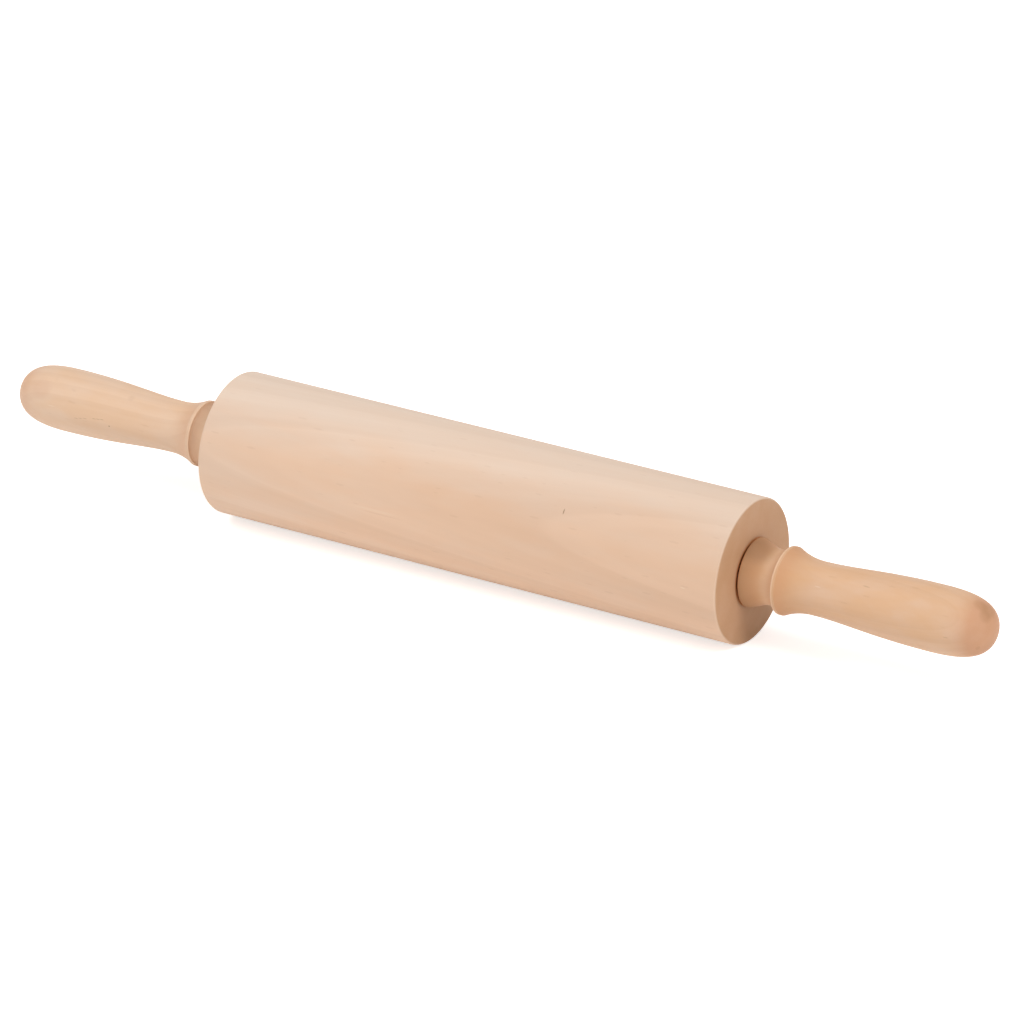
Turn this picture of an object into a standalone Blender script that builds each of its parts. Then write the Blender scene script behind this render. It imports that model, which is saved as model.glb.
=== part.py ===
"""A beech rolling pin whose barrel turns on a steel axle in two ball bearings.

The pin lies along X and rests on the ground at z = 0, with the middle of the barrel over the origin.
Every piece is round about the pin's axis. Pieces of the right-hand end are modelled with +X pointing
outwards, and the left-hand end has the same meshes turned half way round Z.
"""

import math

import bmesh
import bpy
from mathutils import Matrix, Vector

# Barrel, in metres
BARREL_LENGTH = 0.245
BARREL_DIAMETER = 0.060
BARREL_EDGE_RADIUS = 0.0012
COUNTERBORE_CHAMFER = 0.0003

# Handle, from its foot outwards
FOOT_GAP = 0.0010
FOOT_DIAMETER = 0.0284
FOOT_LENGTH = 0.0006
FOOT_CHAMFER = 0.0002
COVE_LENGTH = 0.0090
NECK_DIAMETER = 0.0228
RISE_LENGTH = 0.0048
COLLAR_DIAMETER = 0.0280
COLLAR_LENGTH = 0.0020
COLLAR_EDGE_RADIUS = 0.0004
THROAT_LENGTH = 0.0126
WAIST_DIAMETER = 0.0219
GRIP_LENGTH = 0.0530
GRIP_DIAMETER = 0.0269
DOME_LENGTH = 0.0250

# Hole for the axle in a handle
HANDLE_BORE_DEPTH = 0.0620
BORE_MOUTH_CHAMFER = 0.0005
DRILL_POINT_ANGLE = math.radians(118.0)

# Axle
AXLE_DIAMETER = 0.0080
AXLE_CLEARANCE = 0.0015
AXLE_END_GAP = 0.0010
AXLE_CHAMFER = 0.0005
CLIP_GROOVE_DEPTH = 0.0005
KNURL_LENGTH = 0.0400
KNURL_DEPTH = 0.0002
KNURL_RUN_OUT = 0.0006

# Ball bearing
BALL_DIAMETER = 0.00397
BALL_COUNT = 7
INNER_RING_WALL = 0.0010
OUTER_RING_WALL = 0.00133
BALL_GROOVE_DEPTH = 0.0007
RING_CHAMFER = 0.0003
CAGE_THICKNESS = 0.0018
CAGE_BACK = 0.0004
CAGE_PRONG_LENGTH = 0.0012
SHIELD_THICKNESS = 0.0003
SHIELD_INSET = 0.0003
SHIELD_RIM_WIDTH = 0.0004
SHIELD_RECESS_DEPTH = 0.0011

# Nylon cup round each bearing
CUP_WALL = 0.0014
CUP_END_WALL = 0.0016
CUP_MOUTH_DEPTH = 0.0004
CUP_BEAD_HEIGHT = 0.0005
CUP_BEAD_RAMP = 0.0003
CUP_HOLE_CLEARANCE = 0.0015

# Retaining clip and thrust washer
CLIP_THICKNESS = 0.0008
CLIP_WIDTH = 0.0014
CLIP_LUG_HEIGHT = 0.0017
CLIP_LUG_WIDTH = 0.0020
CLIP_OPENING = 0.0016
CLIP_HOLE_DIAMETER = 0.0009
WASHER_THICKNESS = 0.0019
WASHER_WIDTH = 0.0019

# Clearances
SEAT_GAP = 0.0003
RUNNING_GAP = 0.0002
WELD_DISTANCE = 0.000001

# Slopes and fullness of the handle's curves, the latter as shares of the stretch that each one spans
COVE_SLOPE = 0.20
COVE_START_PULL = 0.33
COVE_END_PULL = 0.39
RISE_START_PULL = 0.50
RISE_END_PULL = 0.35
THROAT_SLOPE = 0.53
THROAT_START_PULL = 0.27
THROAT_END_PULL = 0.39
GRIP_START_PULL = 0.28
GRIP_END_PULL = 0.49
DOME_START_PULL = 0.61
DOME_END_PULL = 0.82

# Facets round each turned piece, and along its curves
BARREL_SIDES = 32
HANDLE_SIDES = 28
AXLE_SIDES = 32
BEARING_SIDES = 24
BALL_SIDES = 10
BALL_RINGS = 7
POCKET_SIDES = 12
POCKET_RINGS = 8
LUG_HOLE_SIDES = 8
EDGE_STEPS = 2
COVE_STEPS = 4
RISE_STEPS = 4
THROAT_STEPS = 5
GRIP_STEPS = 8
DOME_STEPS = 8
GROOVE_STEPS = 6
CLIP_STEPS = 20
SMOOTH_ANGLE = math.radians(35.0)

# Colours, as linear red, green and blue
BARREL_BEECH = (0.76, 0.52, 0.37)
HANDLE_BEECH = (0.74, 0.47, 0.29)
BEARING_STEEL = (0.62, 0.62, 0.63)
AXLE_STEEL = (0.50, 0.50, 0.52)
SPRING_STEEL = (0.16, 0.16, 0.18)
CUP_NYLON = (0.36, 0.14, 0.05)
CAGE_NYLON = (0.08, 0.07, 0.06)
WASHER_NYLON = (0.72, 0.70, 0.64)

# Sizes that follow from the ones above
AXLE_RADIUS = AXLE_DIAMETER / 2
AXIS_HEIGHT = BARREL_DIAMETER / 2
BALL_RADIUS = BALL_DIAMETER / 2
POCKET_RADIUS = BALL_RADIUS + RUNNING_GAP
RING_BORE_RADIUS = AXLE_RADIUS + SEAT_GAP
INNER_GROOVE_RADIUS = RING_BORE_RADIUS + INNER_RING_WALL
PITCH_RADIUS = INNER_GROOVE_RADIUS + POCKET_RADIUS
OUTER_GROOVE_RADIUS = PITCH_RADIUS + POCKET_RADIUS
INNER_LAND_RADIUS = INNER_GROOVE_RADIUS + BALL_GROOVE_DEPTH
OUTER_LAND_RADIUS = OUTER_GROOVE_RADIUS - BALL_GROOVE_DEPTH
BEARING_RADIUS = OUTER_GROOVE_RADIUS + OUTER_RING_WALL
CAGE_HALF_WIDTH = POCKET_RADIUS + CAGE_BACK
SHIELD_FACE_X = CAGE_HALF_WIDTH + SEAT_GAP
BEARING_HALF_WIDTH = SHIELD_FACE_X + SHIELD_THICKNESS + SHIELD_INSET
SHIELD_RECESS_X = SHIELD_FACE_X - SEAT_GAP
SHIELD_RECESS_RADIUS = OUTER_LAND_RADIUS + SHIELD_RECESS_DEPTH
CUP_INNER_RADIUS = BEARING_RADIUS + SEAT_GAP
CUP_OUTER_RADIUS = CUP_INNER_RADIUS + CUP_WALL
COUNTERBORE_RADIUS = CUP_OUTER_RADIUS + SEAT_GAP
BARREL_BORE_RADIUS = AXLE_RADIUS + AXLE_CLEARANCE
HANDLE_BORE_RADIUS = AXLE_RADIUS + SEAT_GAP
AXLE_GROOVE_RADIUS = AXLE_RADIUS - CLIP_GROOVE_DEPTH
CLIP_INNER_RADIUS = AXLE_GROOVE_RADIUS + SEAT_GAP
CLIP_OUTER_RADIUS = CLIP_INNER_RADIUS + CLIP_WIDTH

# Places along the pin, from the middle of the barrel
BARREL_END_X = BARREL_LENGTH / 2
FOOT_X = BARREL_END_X + FOOT_GAP
WASHER_X = FOOT_X - SEAT_GAP - WASHER_THICKNESS
CLIP_X = WASHER_X - SEAT_GAP - CLIP_THICKNESS
BEARING_FACE_X = CLIP_X - SEAT_GAP
BEARING_X = BEARING_FACE_X - BEARING_HALF_WIDTH
CUP_END_X = BEARING_X - BEARING_HALF_WIDTH - SEAT_GAP - CUP_END_WALL
COUNTERBORE_X = CUP_END_X - SEAT_GAP
AXLE_END_X = FOOT_X + HANDLE_BORE_DEPTH - AXLE_END_GAP


def clear_scene():
    """Remove whatever the scene holds."""
    for thing in list(bpy.data.objects):
        bpy.data.objects.remove(thing, do_unlink=True)


def make_material(name, colour, roughness, metallic=0.0):
    """A plain surface of one colour."""
    material = bpy.data.materials.new(name)
    material.use_nodes = True
    shader = material.node_tree.nodes["Principled BSDF"]
    shader.inputs["Base Color"].default_value = (*colour, 1.0)
    shader.inputs["Roughness"].default_value = roughness
    shader.inputs["Metallic"].default_value = metallic
    return material


def curve_points(start, start_pull, end_pull, end, steps):
    """Points after start, up to end, along a curve drawn towards the two pull points."""
    corners = [Vector(point) for point in (start, start_pull, end_pull, end)]
    points = []
    for step in range(1, steps + 1):
        t = step / steps
        weights = ((1 - t) ** 3, 3 * t * (1 - t) ** 2, 3 * t * t * (1 - t), t ** 3)
        point = sum((corner * weight for corner, weight in zip(corners, weights)), Vector((0.0, 0.0)))
        points.append((point.x, point.y))
    return points


def arc_points(centre, radius, start_angle, end_angle, steps):
    """Points on an arc, both ends included. Angles are in radians from the X direction."""
    points = []
    for step in range(steps + 1):
        angle = start_angle + (end_angle - start_angle) * step / steps
        points.append((centre[0] + radius * math.cos(angle), centre[1] + radius * math.sin(angle)))
    return points


def mirrored(right_half):
    """A profile of both ends, from the half that starts nearest the middle."""
    left_half = [(-x, radius) for x, radius in reversed(right_half)]
    return left_half + right_half


def finish_mesh(bm, name, material):
    """Turn a bmesh into a smooth-shaded mesh whose faces point outwards."""
    bmesh.ops.remove_doubles(bm, verts=bm.verts[:], dist=WELD_DISTANCE)
    bmesh.ops.recalc_face_normals(bm, faces=bm.faces[:])
    mesh = bpy.data.meshes.new(name)
    bm.to_mesh(mesh)
    bm.free()
    mesh.shade_smooth()
    mesh.set_sharp_from_angle(angle=SMOOTH_ANGLE)
    mesh.materials.append(material)
    return mesh


def turned_mesh(name, profile, sides, material, closed):
    """Turn a profile of (x, radius) points about X.

    Each radius is that of the circle inside the facets, and one facet lies straight below the axis.
    A closed profile makes a ring. An open one starts and ends on the axis.
    """
    bm = bmesh.new()
    corner_reach = 1.0 / math.cos(math.pi / sides)
    to_corner = Matrix.Rotation(math.pi / sides, 3, "X")
    verts = [bm.verts.new(to_corner @ Vector((x, 0.0, -radius * corner_reach))) for x, radius in profile]
    edges = [bm.edges.new(pair) for pair in zip(verts, verts[1:])]
    if closed:
        edges.append(bm.edges.new((verts[-1], verts[0])))
    bmesh.ops.spin(
        bm, geom=verts + edges, cent=(0, 0, 0), axis=(1, 0, 0), angle=math.tau, steps=sides, use_merge=True
    )
    return finish_mesh(bm, name, material)


def add_axis(name, x, parent=None):
    """An empty on the pin's axis, which carries the pieces that turn together."""
    axis = bpy.data.objects.new(name, None)
    bpy.context.scene.collection.objects.link(axis)
    axis.parent = parent
    axis.location.x = x
    return axis


def add_piece(name, mesh, parent, x=0.0, side=1):
    """Place a piece on the axis, turned half round where it belongs to the left-hand end."""
    piece = bpy.data.objects.new(name, mesh)
    bpy.context.scene.collection.objects.link(piece)
    piece.parent = parent
    piece.location.x = x
    piece.rotation_euler.z = 0.0 if side > 0 else math.pi
    return piece


def cut_away(piece, cutter_mesh):
    """Cut a hidden shape, placed like the piece, out of it."""
    cutter = bpy.data.objects.new(piece.name + "_cutter", cutter_mesh)
    bpy.context.scene.collection.objects.link(cutter)
    cutter.parent = piece.parent
    cutter.location = piece.location
    cutter.rotation_euler = piece.rotation_euler
    cutter.hide_render = True
    cutter.display_type = "WIRE"
    cut = piece.modifiers.new("cut", "BOOLEAN")
    cut.operation = "DIFFERENCE"
    cut.object = cutter


def make_barrel(material):
    """The roller: a long beech cylinder, bored through and counterbored at both ends."""
    edge_centre = (BARREL_END_X - BARREL_EDGE_RADIUS, AXIS_HEIGHT - BARREL_EDGE_RADIUS)
    right_half = arc_points(edge_centre, BARREL_EDGE_RADIUS, math.pi / 2, 0.0, EDGE_STEPS)
    right_half += [
        (BARREL_END_X, COUNTERBORE_RADIUS + COUNTERBORE_CHAMFER),
        (BARREL_END_X - COUNTERBORE_CHAMFER, COUNTERBORE_RADIUS),
        (COUNTERBORE_X, COUNTERBORE_RADIUS),
        (COUNTERBORE_X, BARREL_BORE_RADIUS),
    ]
    return turned_mesh("barrel", mirrored(right_half), BARREL_SIDES, material, closed=True)


def bore_profile():
    """The blind hole for the axle, from its drilled point out to the middle of the foot."""
    point_depth = HANDLE_BORE_RADIUS / math.tan(DRILL_POINT_ANGLE / 2)
    return [
        (HANDLE_BORE_DEPTH + point_depth, 0.0),
        (HANDLE_BORE_DEPTH, HANDLE_BORE_RADIUS),
        (BORE_MOUTH_CHAMFER, HANDLE_BORE_RADIUS),
        (0.0, HANDLE_BORE_RADIUS + BORE_MOUTH_CHAMFER),
    ]


def foot_profile(collar_start):
    """The flared foot, the hollow down to the neck and the rise to the collar's near edge."""
    foot = FOOT_DIAMETER / 2
    neck = NECK_DIAMETER / 2
    rim = COLLAR_DIAMETER / 2 - COLLAR_EDGE_RADIUS
    neck_x = FOOT_LENGTH + COVE_LENGTH
    points = [(0.0, foot - FOOT_CHAMFER), (FOOT_CHAMFER, foot), (FOOT_LENGTH, foot)]
    cove_reach = COVE_LENGTH * COVE_START_PULL
    leave_foot = (FOOT_LENGTH + cove_reach, foot - cove_reach * COVE_SLOPE)
    reach_neck = (neck_x - COVE_LENGTH * COVE_END_PULL, neck)
    points += curve_points(points[-1], leave_foot, reach_neck, (neck_x, neck), COVE_STEPS)
    leave_neck = (neck_x + RISE_LENGTH * RISE_START_PULL, neck)
    reach_collar = (collar_start, rim - (rim - neck) * RISE_END_PULL)
    points += curve_points(points[-1], leave_neck, reach_collar, (collar_start, rim), RISE_STEPS)
    return points


def collar_profile(start, end):
    """The raised collar, after its near edge's first point: a narrow band with two rounded edges."""
    rim = COLLAR_DIAMETER / 2
    round_centre = rim - COLLAR_EDGE_RADIUS
    near_edge = (start + COLLAR_EDGE_RADIUS, round_centre)
    far_edge = (end - COLLAR_EDGE_RADIUS, round_centre)
    throat_angle = math.atan(1.0 / THROAT_SLOPE)
    points = arc_points(near_edge, COLLAR_EDGE_RADIUS, math.pi, math.pi / 2, EDGE_STEPS)
    points += arc_points(far_edge, COLLAR_EDGE_RADIUS, math.pi / 2, throat_angle, EDGE_STEPS)
    return points[1:]


def grip_profile(throat_start, waist_x):
    """The sweep from the collar down to the waist, out to the grip and round the dome to the tip."""
    start_x, start_radius = throat_start
    waist = WAIST_DIAMETER / 2
    grip = GRIP_DIAMETER / 2
    throat = waist_x - start_x
    grip_x = waist_x + GRIP_LENGTH
    tip_x = grip_x + DOME_LENGTH
    throat_pull = (
        start_x + throat * THROAT_START_PULL,
        start_radius - throat * THROAT_START_PULL * THROAT_SLOPE,
    )
    waist_pull = (waist_x - throat * THROAT_END_PULL, waist)
    points = curve_points(throat_start, throat_pull, waist_pull, (waist_x, waist), THROAT_STEPS)
    leave_waist = (waist_x + GRIP_LENGTH * GRIP_START_PULL, waist)
    reach_grip = (grip_x - GRIP_LENGTH * GRIP_END_PULL, grip)
    points += curve_points(points[-1], leave_waist, reach_grip, (grip_x, grip), GRIP_STEPS)
    leave_grip = (grip_x + DOME_LENGTH * DOME_START_PULL, grip)
    reach_tip = (tip_x, grip * DOME_END_PULL)
    points += curve_points(points[-1], leave_grip, reach_tip, (tip_x, 0.0), DOME_STEPS)
    return points


def make_handle(material):
    """A turned beech handle with a blind hole for the axle. Its foot is at x = 0."""
    collar_start = FOOT_LENGTH + COVE_LENGTH + RISE_LENGTH
    collar_end = collar_start + COLLAR_LENGTH
    waist_x = collar_end + THROAT_LENGTH
    profile = bore_profile() + foot_profile(collar_start)
    profile += collar_profile(collar_start, collar_end)
    profile += grip_profile(profile[-1], waist_x)
    return turned_mesh("handle", profile, HANDLE_SIDES, material, closed=False)


def knurl_axle(mesh, knurl_start, knurl_end):
    """Press straight ridges into the axle's two ends by drawing in every other corner."""
    spoke = math.tau / AXLE_SIDES
    for vert in mesh.vertices:
        if not knurl_start - WELD_DISTANCE < abs(vert.co.x) < knurl_end + WELD_DISTANCE:
            continue
        spoke_number = round((math.atan2(vert.co.z, vert.co.y) - spoke / 2) / spoke)
        if spoke_number % 2:
            drawn_in = 1.0 - KNURL_DEPTH / AXLE_RADIUS
            vert.co.y *= drawn_in
            vert.co.z *= drawn_in


def make_axle(material):
    """The steel bar, with a groove for each clip and knurled ends for the handles."""
    groove_end = CLIP_X + CLIP_THICKNESS + SEAT_GAP
    knurl_start = AXLE_END_X - KNURL_LENGTH
    knurl_end = AXLE_END_X - AXLE_CHAMFER
    right_half = [
        (BEARING_FACE_X, AXLE_RADIUS),
        (BEARING_FACE_X, AXLE_GROOVE_RADIUS),
        (groove_end, AXLE_GROOVE_RADIUS),
        (groove_end, AXLE_RADIUS),
        (knurl_start - KNURL_RUN_OUT, AXLE_RADIUS),
        (knurl_start, AXLE_RADIUS),
        (knurl_end, AXLE_RADIUS),
        (AXLE_END_X, AXLE_RADIUS - AXLE_CHAMFER),
        (AXLE_END_X, 0.0),
    ]
    mesh = turned_mesh("axle", mirrored(right_half), AXLE_SIDES, material, closed=False)
    knurl_axle(mesh, knurl_start, knurl_end)
    return mesh


def make_cup(material):
    """The nylon cup that is pressed into the barrel: an end wall inside and a snap bead at the mouth."""
    inner_face = -BEARING_HALF_WIDTH - SEAT_GAP
    bead_start = BEARING_HALF_WIDTH + SEAT_GAP
    mouth = BARREL_END_X - CUP_MOUTH_DEPTH - BEARING_X
    hole_radius = INNER_LAND_RADIUS + CUP_HOLE_CLEARANCE
    bead_radius = CUP_INNER_RADIUS - CUP_BEAD_HEIGHT
    profile = [
        (inner_face - CUP_END_WALL, hole_radius),
        (inner_face - CUP_END_WALL, CUP_OUTER_RADIUS),
        (mouth, CUP_OUTER_RADIUS),
        (mouth, CUP_INNER_RADIUS),
        (bead_start + CUP_BEAD_RAMP, bead_radius),
        (bead_start, CUP_INNER_RADIUS),
        (inner_face, CUP_INNER_RADIUS),
        (inner_face, hole_radius),
    ]
    return turned_mesh("bearing_cup", profile, BEARING_SIDES, material, closed=True)


def groove_arc(from_inside):
    """The ball groove's section: an arc about the ball, cut off at the ring's land."""
    half_angle = math.acos((POCKET_RADIUS - BALL_GROOVE_DEPTH) / POCKET_RADIUS)
    middle = -math.pi / 2 if from_inside else math.pi / 2
    lean = -half_angle if from_inside else half_angle
    return arc_points((0.0, PITCH_RADIUS), POCKET_RADIUS, middle + lean, middle - lean, GROOVE_STEPS)


def make_inner_ring(material):
    """The bearing's inner ring, which turns with the axle."""
    face = BEARING_HALF_WIDTH
    profile = [(-face, INNER_LAND_RADIUS)] + groove_arc(from_inside=True)
    profile += [
        (face, INNER_LAND_RADIUS),
        (face, RING_BORE_RADIUS + RING_CHAMFER),
        (face - RING_CHAMFER, RING_BORE_RADIUS),
        (RING_CHAMFER - face, RING_BORE_RADIUS),
        (-face, RING_BORE_RADIUS + RING_CHAMFER),
    ]
    return turned_mesh("inner_ring", profile, BEARING_SIDES, material, closed=True)


def make_outer_ring(material):
    """The bearing's outer ring, with a step at each side for a shield."""
    face = BEARING_HALF_WIDTH
    profile = [
        (-face, BEARING_RADIUS - RING_CHAMFER),
        (-face, SHIELD_RECESS_RADIUS),
        (-SHIELD_RECESS_X, SHIELD_RECESS_RADIUS),
        (-SHIELD_RECESS_X, OUTER_LAND_RADIUS),
    ]
    profile += groove_arc(from_inside=False)
    profile += [
        (SHIELD_RECESS_X, OUTER_LAND_RADIUS),
        (SHIELD_RECESS_X, SHIELD_RECESS_RADIUS),
        (face, SHIELD_RECESS_RADIUS),
        (face, BEARING_RADIUS - RING_CHAMFER),
        (face - RING_CHAMFER, BEARING_RADIUS),
        (RING_CHAMFER - face, BEARING_RADIUS),
    ]
    return turned_mesh("outer_ring", profile, BEARING_SIDES, material, closed=True)


def make_shield(material):
    """A thin dust shield with a turned-out rim, for the side of the bearing that faces +X."""
    inner = INNER_LAND_RADIUS + RUNNING_GAP
    outer = SHIELD_RECESS_RADIUS - SEAT_GAP
    back = SHIELD_FACE_X
    front = SHIELD_FACE_X + SHIELD_THICKNESS
    rim_front = BEARING_HALF_WIDTH
    profile = [
        (back, inner),
        (back, outer),
        (rim_front, outer),
        (rim_front, outer - SHIELD_RIM_WIDTH),
        (front, outer - SHIELD_RIM_WIDTH),
        (front, inner),
    ]
    return turned_mesh("shield", profile, BEARING_SIDES, material, closed=True)


def make_ball(material):
    """One steel ball, with its middle at its own origin."""
    bm = bmesh.new()
    bmesh.ops.create_uvsphere(bm, u_segments=BALL_SIDES, v_segments=BALL_RINGS, radius=BALL_RADIUS)
    return finish_mesh(bm, "ball", material)


def ball_centres():
    """Where the balls' middles lie round the bearing."""
    centres = []
    for number in range(BALL_COUNT):
        angle = math.tau * number / BALL_COUNT
        centres.append(Vector((0.0, PITCH_RADIUS * math.cos(angle), PITCH_RADIUS * math.sin(angle))))
    return centres


def make_cage(material):
    """The crown cage before its pockets are cut: a plain ring between the two bearing rings."""
    inner = PITCH_RADIUS - CAGE_THICKNESS / 2
    outer = PITCH_RADIUS + CAGE_THICKNESS / 2
    profile = [
        (-CAGE_HALF_WIDTH, inner),
        (-CAGE_HALF_WIDTH, outer),
        (CAGE_PRONG_LENGTH, outer),
        (CAGE_PRONG_LENGTH, inner),
    ]
    return turned_mesh("cage", profile, BEARING_SIDES, material, closed=True)


def make_pockets(material):
    """One round pocket for each ball, open towards +X, where the balls snap in."""
    bm = bmesh.new()
    for centre in ball_centres():
        bmesh.ops.create_uvsphere(
            bm,
            u_segments=POCKET_SIDES,
            v_segments=POCKET_RINGS,
            radius=POCKET_RADIUS,
            matrix=Matrix.Translation(centre),
        )
    return finish_mesh(bm, "pockets", material)


def clip_outline():
    """The retaining clip seen along the axis: an open ring with a lug at each end, gap upwards."""
    centre = (0.0, 0.0)
    lug_top = CLIP_OUTER_RADIUS + CLIP_LUG_HEIGHT
    half_gap = CLIP_OPENING / 2
    lug_side = half_gap + CLIP_LUG_WIDTH
    upwards = math.pi / 2
    gap_angle = math.asin(half_gap / CLIP_INNER_RADIUS)
    lug_angle = math.asin(lug_side / CLIP_OUTER_RADIUS)
    outline = [(half_gap, lug_top), (lug_side, lug_top)]
    outline += arc_points(
        centre, CLIP_OUTER_RADIUS, upwards - lug_angle, upwards + lug_angle - math.tau, CLIP_STEPS
    )
    outline += [(-lug_side, lug_top), (-half_gap, lug_top)]
    outline += arc_points(
        centre, CLIP_INNER_RADIUS, upwards + gap_angle, upwards - gap_angle + math.tau, CLIP_STEPS
    )
    return outline


def make_clip(material):
    """A flat spring-steel clip, from x = 0 outwards."""
    bm = bmesh.new()
    face = bm.faces.new([bm.verts.new((0.0, y, z)) for y, z in clip_outline()])
    extruded = bmesh.ops.extrude_face_region(bm, geom=[face], use_keep_orig=True)
    moved = [item for item in extruded["geom"] if isinstance(item, bmesh.types.BMVert)]
    bmesh.ops.translate(bm, verts=moved, vec=(CLIP_THICKNESS, 0.0, 0.0))
    return finish_mesh(bm, "clip", material)


def make_lug_holes(material):
    """The two holes for the pliers that open the clip."""
    bm = bmesh.new()
    height = CLIP_OUTER_RADIUS + CLIP_LUG_HEIGHT / 2
    offset = (CLIP_OPENING + CLIP_LUG_WIDTH) / 2
    upright_to_x = Matrix.Rotation(math.pi / 2, 4, "Y")
    for y in (-offset, offset):
        bmesh.ops.create_cone(
            bm,
            cap_ends=True,
            segments=LUG_HOLE_SIDES,
            radius1=CLIP_HOLE_DIAMETER / 2,
            radius2=CLIP_HOLE_DIAMETER / 2,
            depth=CLIP_THICKNESS * 3,
            matrix=Matrix.Translation((CLIP_THICKNESS / 2, y, height)) @ upright_to_x,
        )
    return finish_mesh(bm, "lug_holes", material)


def make_washer(material):
    """The thrust washer between clip and handle, from x = 0 outwards."""
    inner = AXLE_RADIUS + SEAT_GAP
    outer = inner + WASHER_WIDTH
    profile = [(0.0, inner), (0.0, outer), (WASHER_THICKNESS, outer), (WASHER_THICKNESS, inner)]
    return turned_mesh("washer", profile, BEARING_SIDES, material, closed=True)


def make_meshes():
    """Every mesh and cutter that the pieces use, by name."""
    barrel_beech = make_material("barrel_beech", BARREL_BEECH, 0.55)
    handle_beech = make_material("handle_beech", HANDLE_BEECH, 0.50)
    axle_steel = make_material("axle_steel", AXLE_STEEL, 0.35, metallic=1.0)
    bearing_steel = make_material("bearing_steel", BEARING_STEEL, 0.20, metallic=1.0)
    shield_steel = make_material("shield_steel", BEARING_STEEL, 0.40, metallic=1.0)
    spring_steel = make_material("spring_steel", SPRING_STEEL, 0.35, metallic=1.0)
    cup_nylon = make_material("cup_nylon", CUP_NYLON, 0.45)
    cage_nylon = make_material("cage_nylon", CAGE_NYLON, 0.50)
    washer_nylon = make_material("washer_nylon", WASHER_NYLON, 0.40)
    return {
        "barrel": make_barrel(barrel_beech),
        "handle": make_handle(handle_beech),
        "axle": make_axle(axle_steel),
        "cup": make_cup(cup_nylon),
        "inner_ring": make_inner_ring(bearing_steel),
        "outer_ring": make_outer_ring(bearing_steel),
        "shield": make_shield(shield_steel),
        "ball": make_ball(bearing_steel),
        "cage": make_cage(cage_nylon),
        "pockets": make_pockets(cage_nylon),
        "clip": make_clip(spring_steel),
        "lug_holes": make_lug_holes(spring_steel),
        "washer": make_washer(washer_nylon),
    }


def add_bearing(end, side, meshes, barrel_axis, handle_axis):
    """One ball bearing in its cup."""
    centre = side * BEARING_X
    add_piece(end + "_bearing_cup", meshes["cup"], barrel_axis, centre, side)
    add_piece(end + "_outer_ring", meshes["outer_ring"], barrel_axis, centre, side)
    add_piece(end + "_outboard_shield", meshes["shield"], barrel_axis, centre, side)
    add_piece(end + "_inboard_shield", meshes["shield"], barrel_axis, centre, -side)
    add_piece(end + "_inner_ring", meshes["inner_ring"], handle_axis, centre, side)
    cage_axis = add_axis(end + "_cage_axis", centre, barrel_axis)
    cage = add_piece(end + "_cage", meshes["cage"], cage_axis, 0.0, side)
    cut_away(cage, meshes["pockets"])
    for number, position in enumerate(ball_centres(), start=1):
        ball = add_piece(end + "_ball_" + str(number), meshes["ball"], cage_axis)
        ball.location = (0.0, side * position.y, position.z)


def add_end(end, side, meshes, barrel_axis, handle_axis):
    """Everything at one end of the pin: bearing, clip, washer and handle."""
    add_bearing(end, side, meshes, barrel_axis, handle_axis)
    clip = add_piece(end + "_clip", meshes["clip"], handle_axis, side * CLIP_X, side)
    cut_away(clip, meshes["lug_holes"])
    add_piece(end + "_washer", meshes["washer"], handle_axis, side * WASHER_X, side)
    add_piece(end + "_handle", meshes["handle"], handle_axis, side * FOOT_X, side)


def build_pin():
    """Put the whole pin together, resting on the ground."""
    clear_scene()
    meshes = make_meshes()
    barrel_axis = add_axis("barrel_axis", 0.0)
    barrel_axis.location.z = AXIS_HEIGHT
    handle_axis = add_axis("handle_axis", 0.0, barrel_axis)
    add_piece("barrel", meshes["barrel"], barrel_axis)
    add_piece("axle", meshes["axle"], handle_axis)
    add_end("right", 1, meshes, barrel_axis, handle_axis)
    add_end("left", -1, meshes, barrel_axis, handle_axis)


build_pin()
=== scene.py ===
"""A beech rolling pin with turned handles, finished piece by piece round its solid model.

The pin lies along X and rests on z = 0. Sizes are in metres.
"""

import math

import bmesh
import bpy
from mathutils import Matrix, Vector


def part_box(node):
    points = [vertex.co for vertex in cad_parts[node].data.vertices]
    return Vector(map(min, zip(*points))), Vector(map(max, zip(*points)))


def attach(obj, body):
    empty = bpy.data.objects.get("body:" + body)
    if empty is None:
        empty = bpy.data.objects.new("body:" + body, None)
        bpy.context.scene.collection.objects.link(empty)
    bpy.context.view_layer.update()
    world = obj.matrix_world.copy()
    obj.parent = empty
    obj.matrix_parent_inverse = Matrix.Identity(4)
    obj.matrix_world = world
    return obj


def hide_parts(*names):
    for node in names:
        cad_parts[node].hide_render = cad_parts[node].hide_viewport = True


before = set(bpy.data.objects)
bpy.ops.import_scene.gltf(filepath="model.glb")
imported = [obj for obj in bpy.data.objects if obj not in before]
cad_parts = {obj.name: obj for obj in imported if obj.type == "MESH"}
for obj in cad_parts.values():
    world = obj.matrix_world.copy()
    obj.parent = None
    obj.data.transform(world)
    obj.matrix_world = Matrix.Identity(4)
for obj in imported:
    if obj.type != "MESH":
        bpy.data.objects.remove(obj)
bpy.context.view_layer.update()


# Barrel
# The roller is one length of pale steamed beech, turned to a true cylinder and sanded fine.
# It is bored right through, and a flat-bottomed pocket at each end takes the bearing cup.

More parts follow.
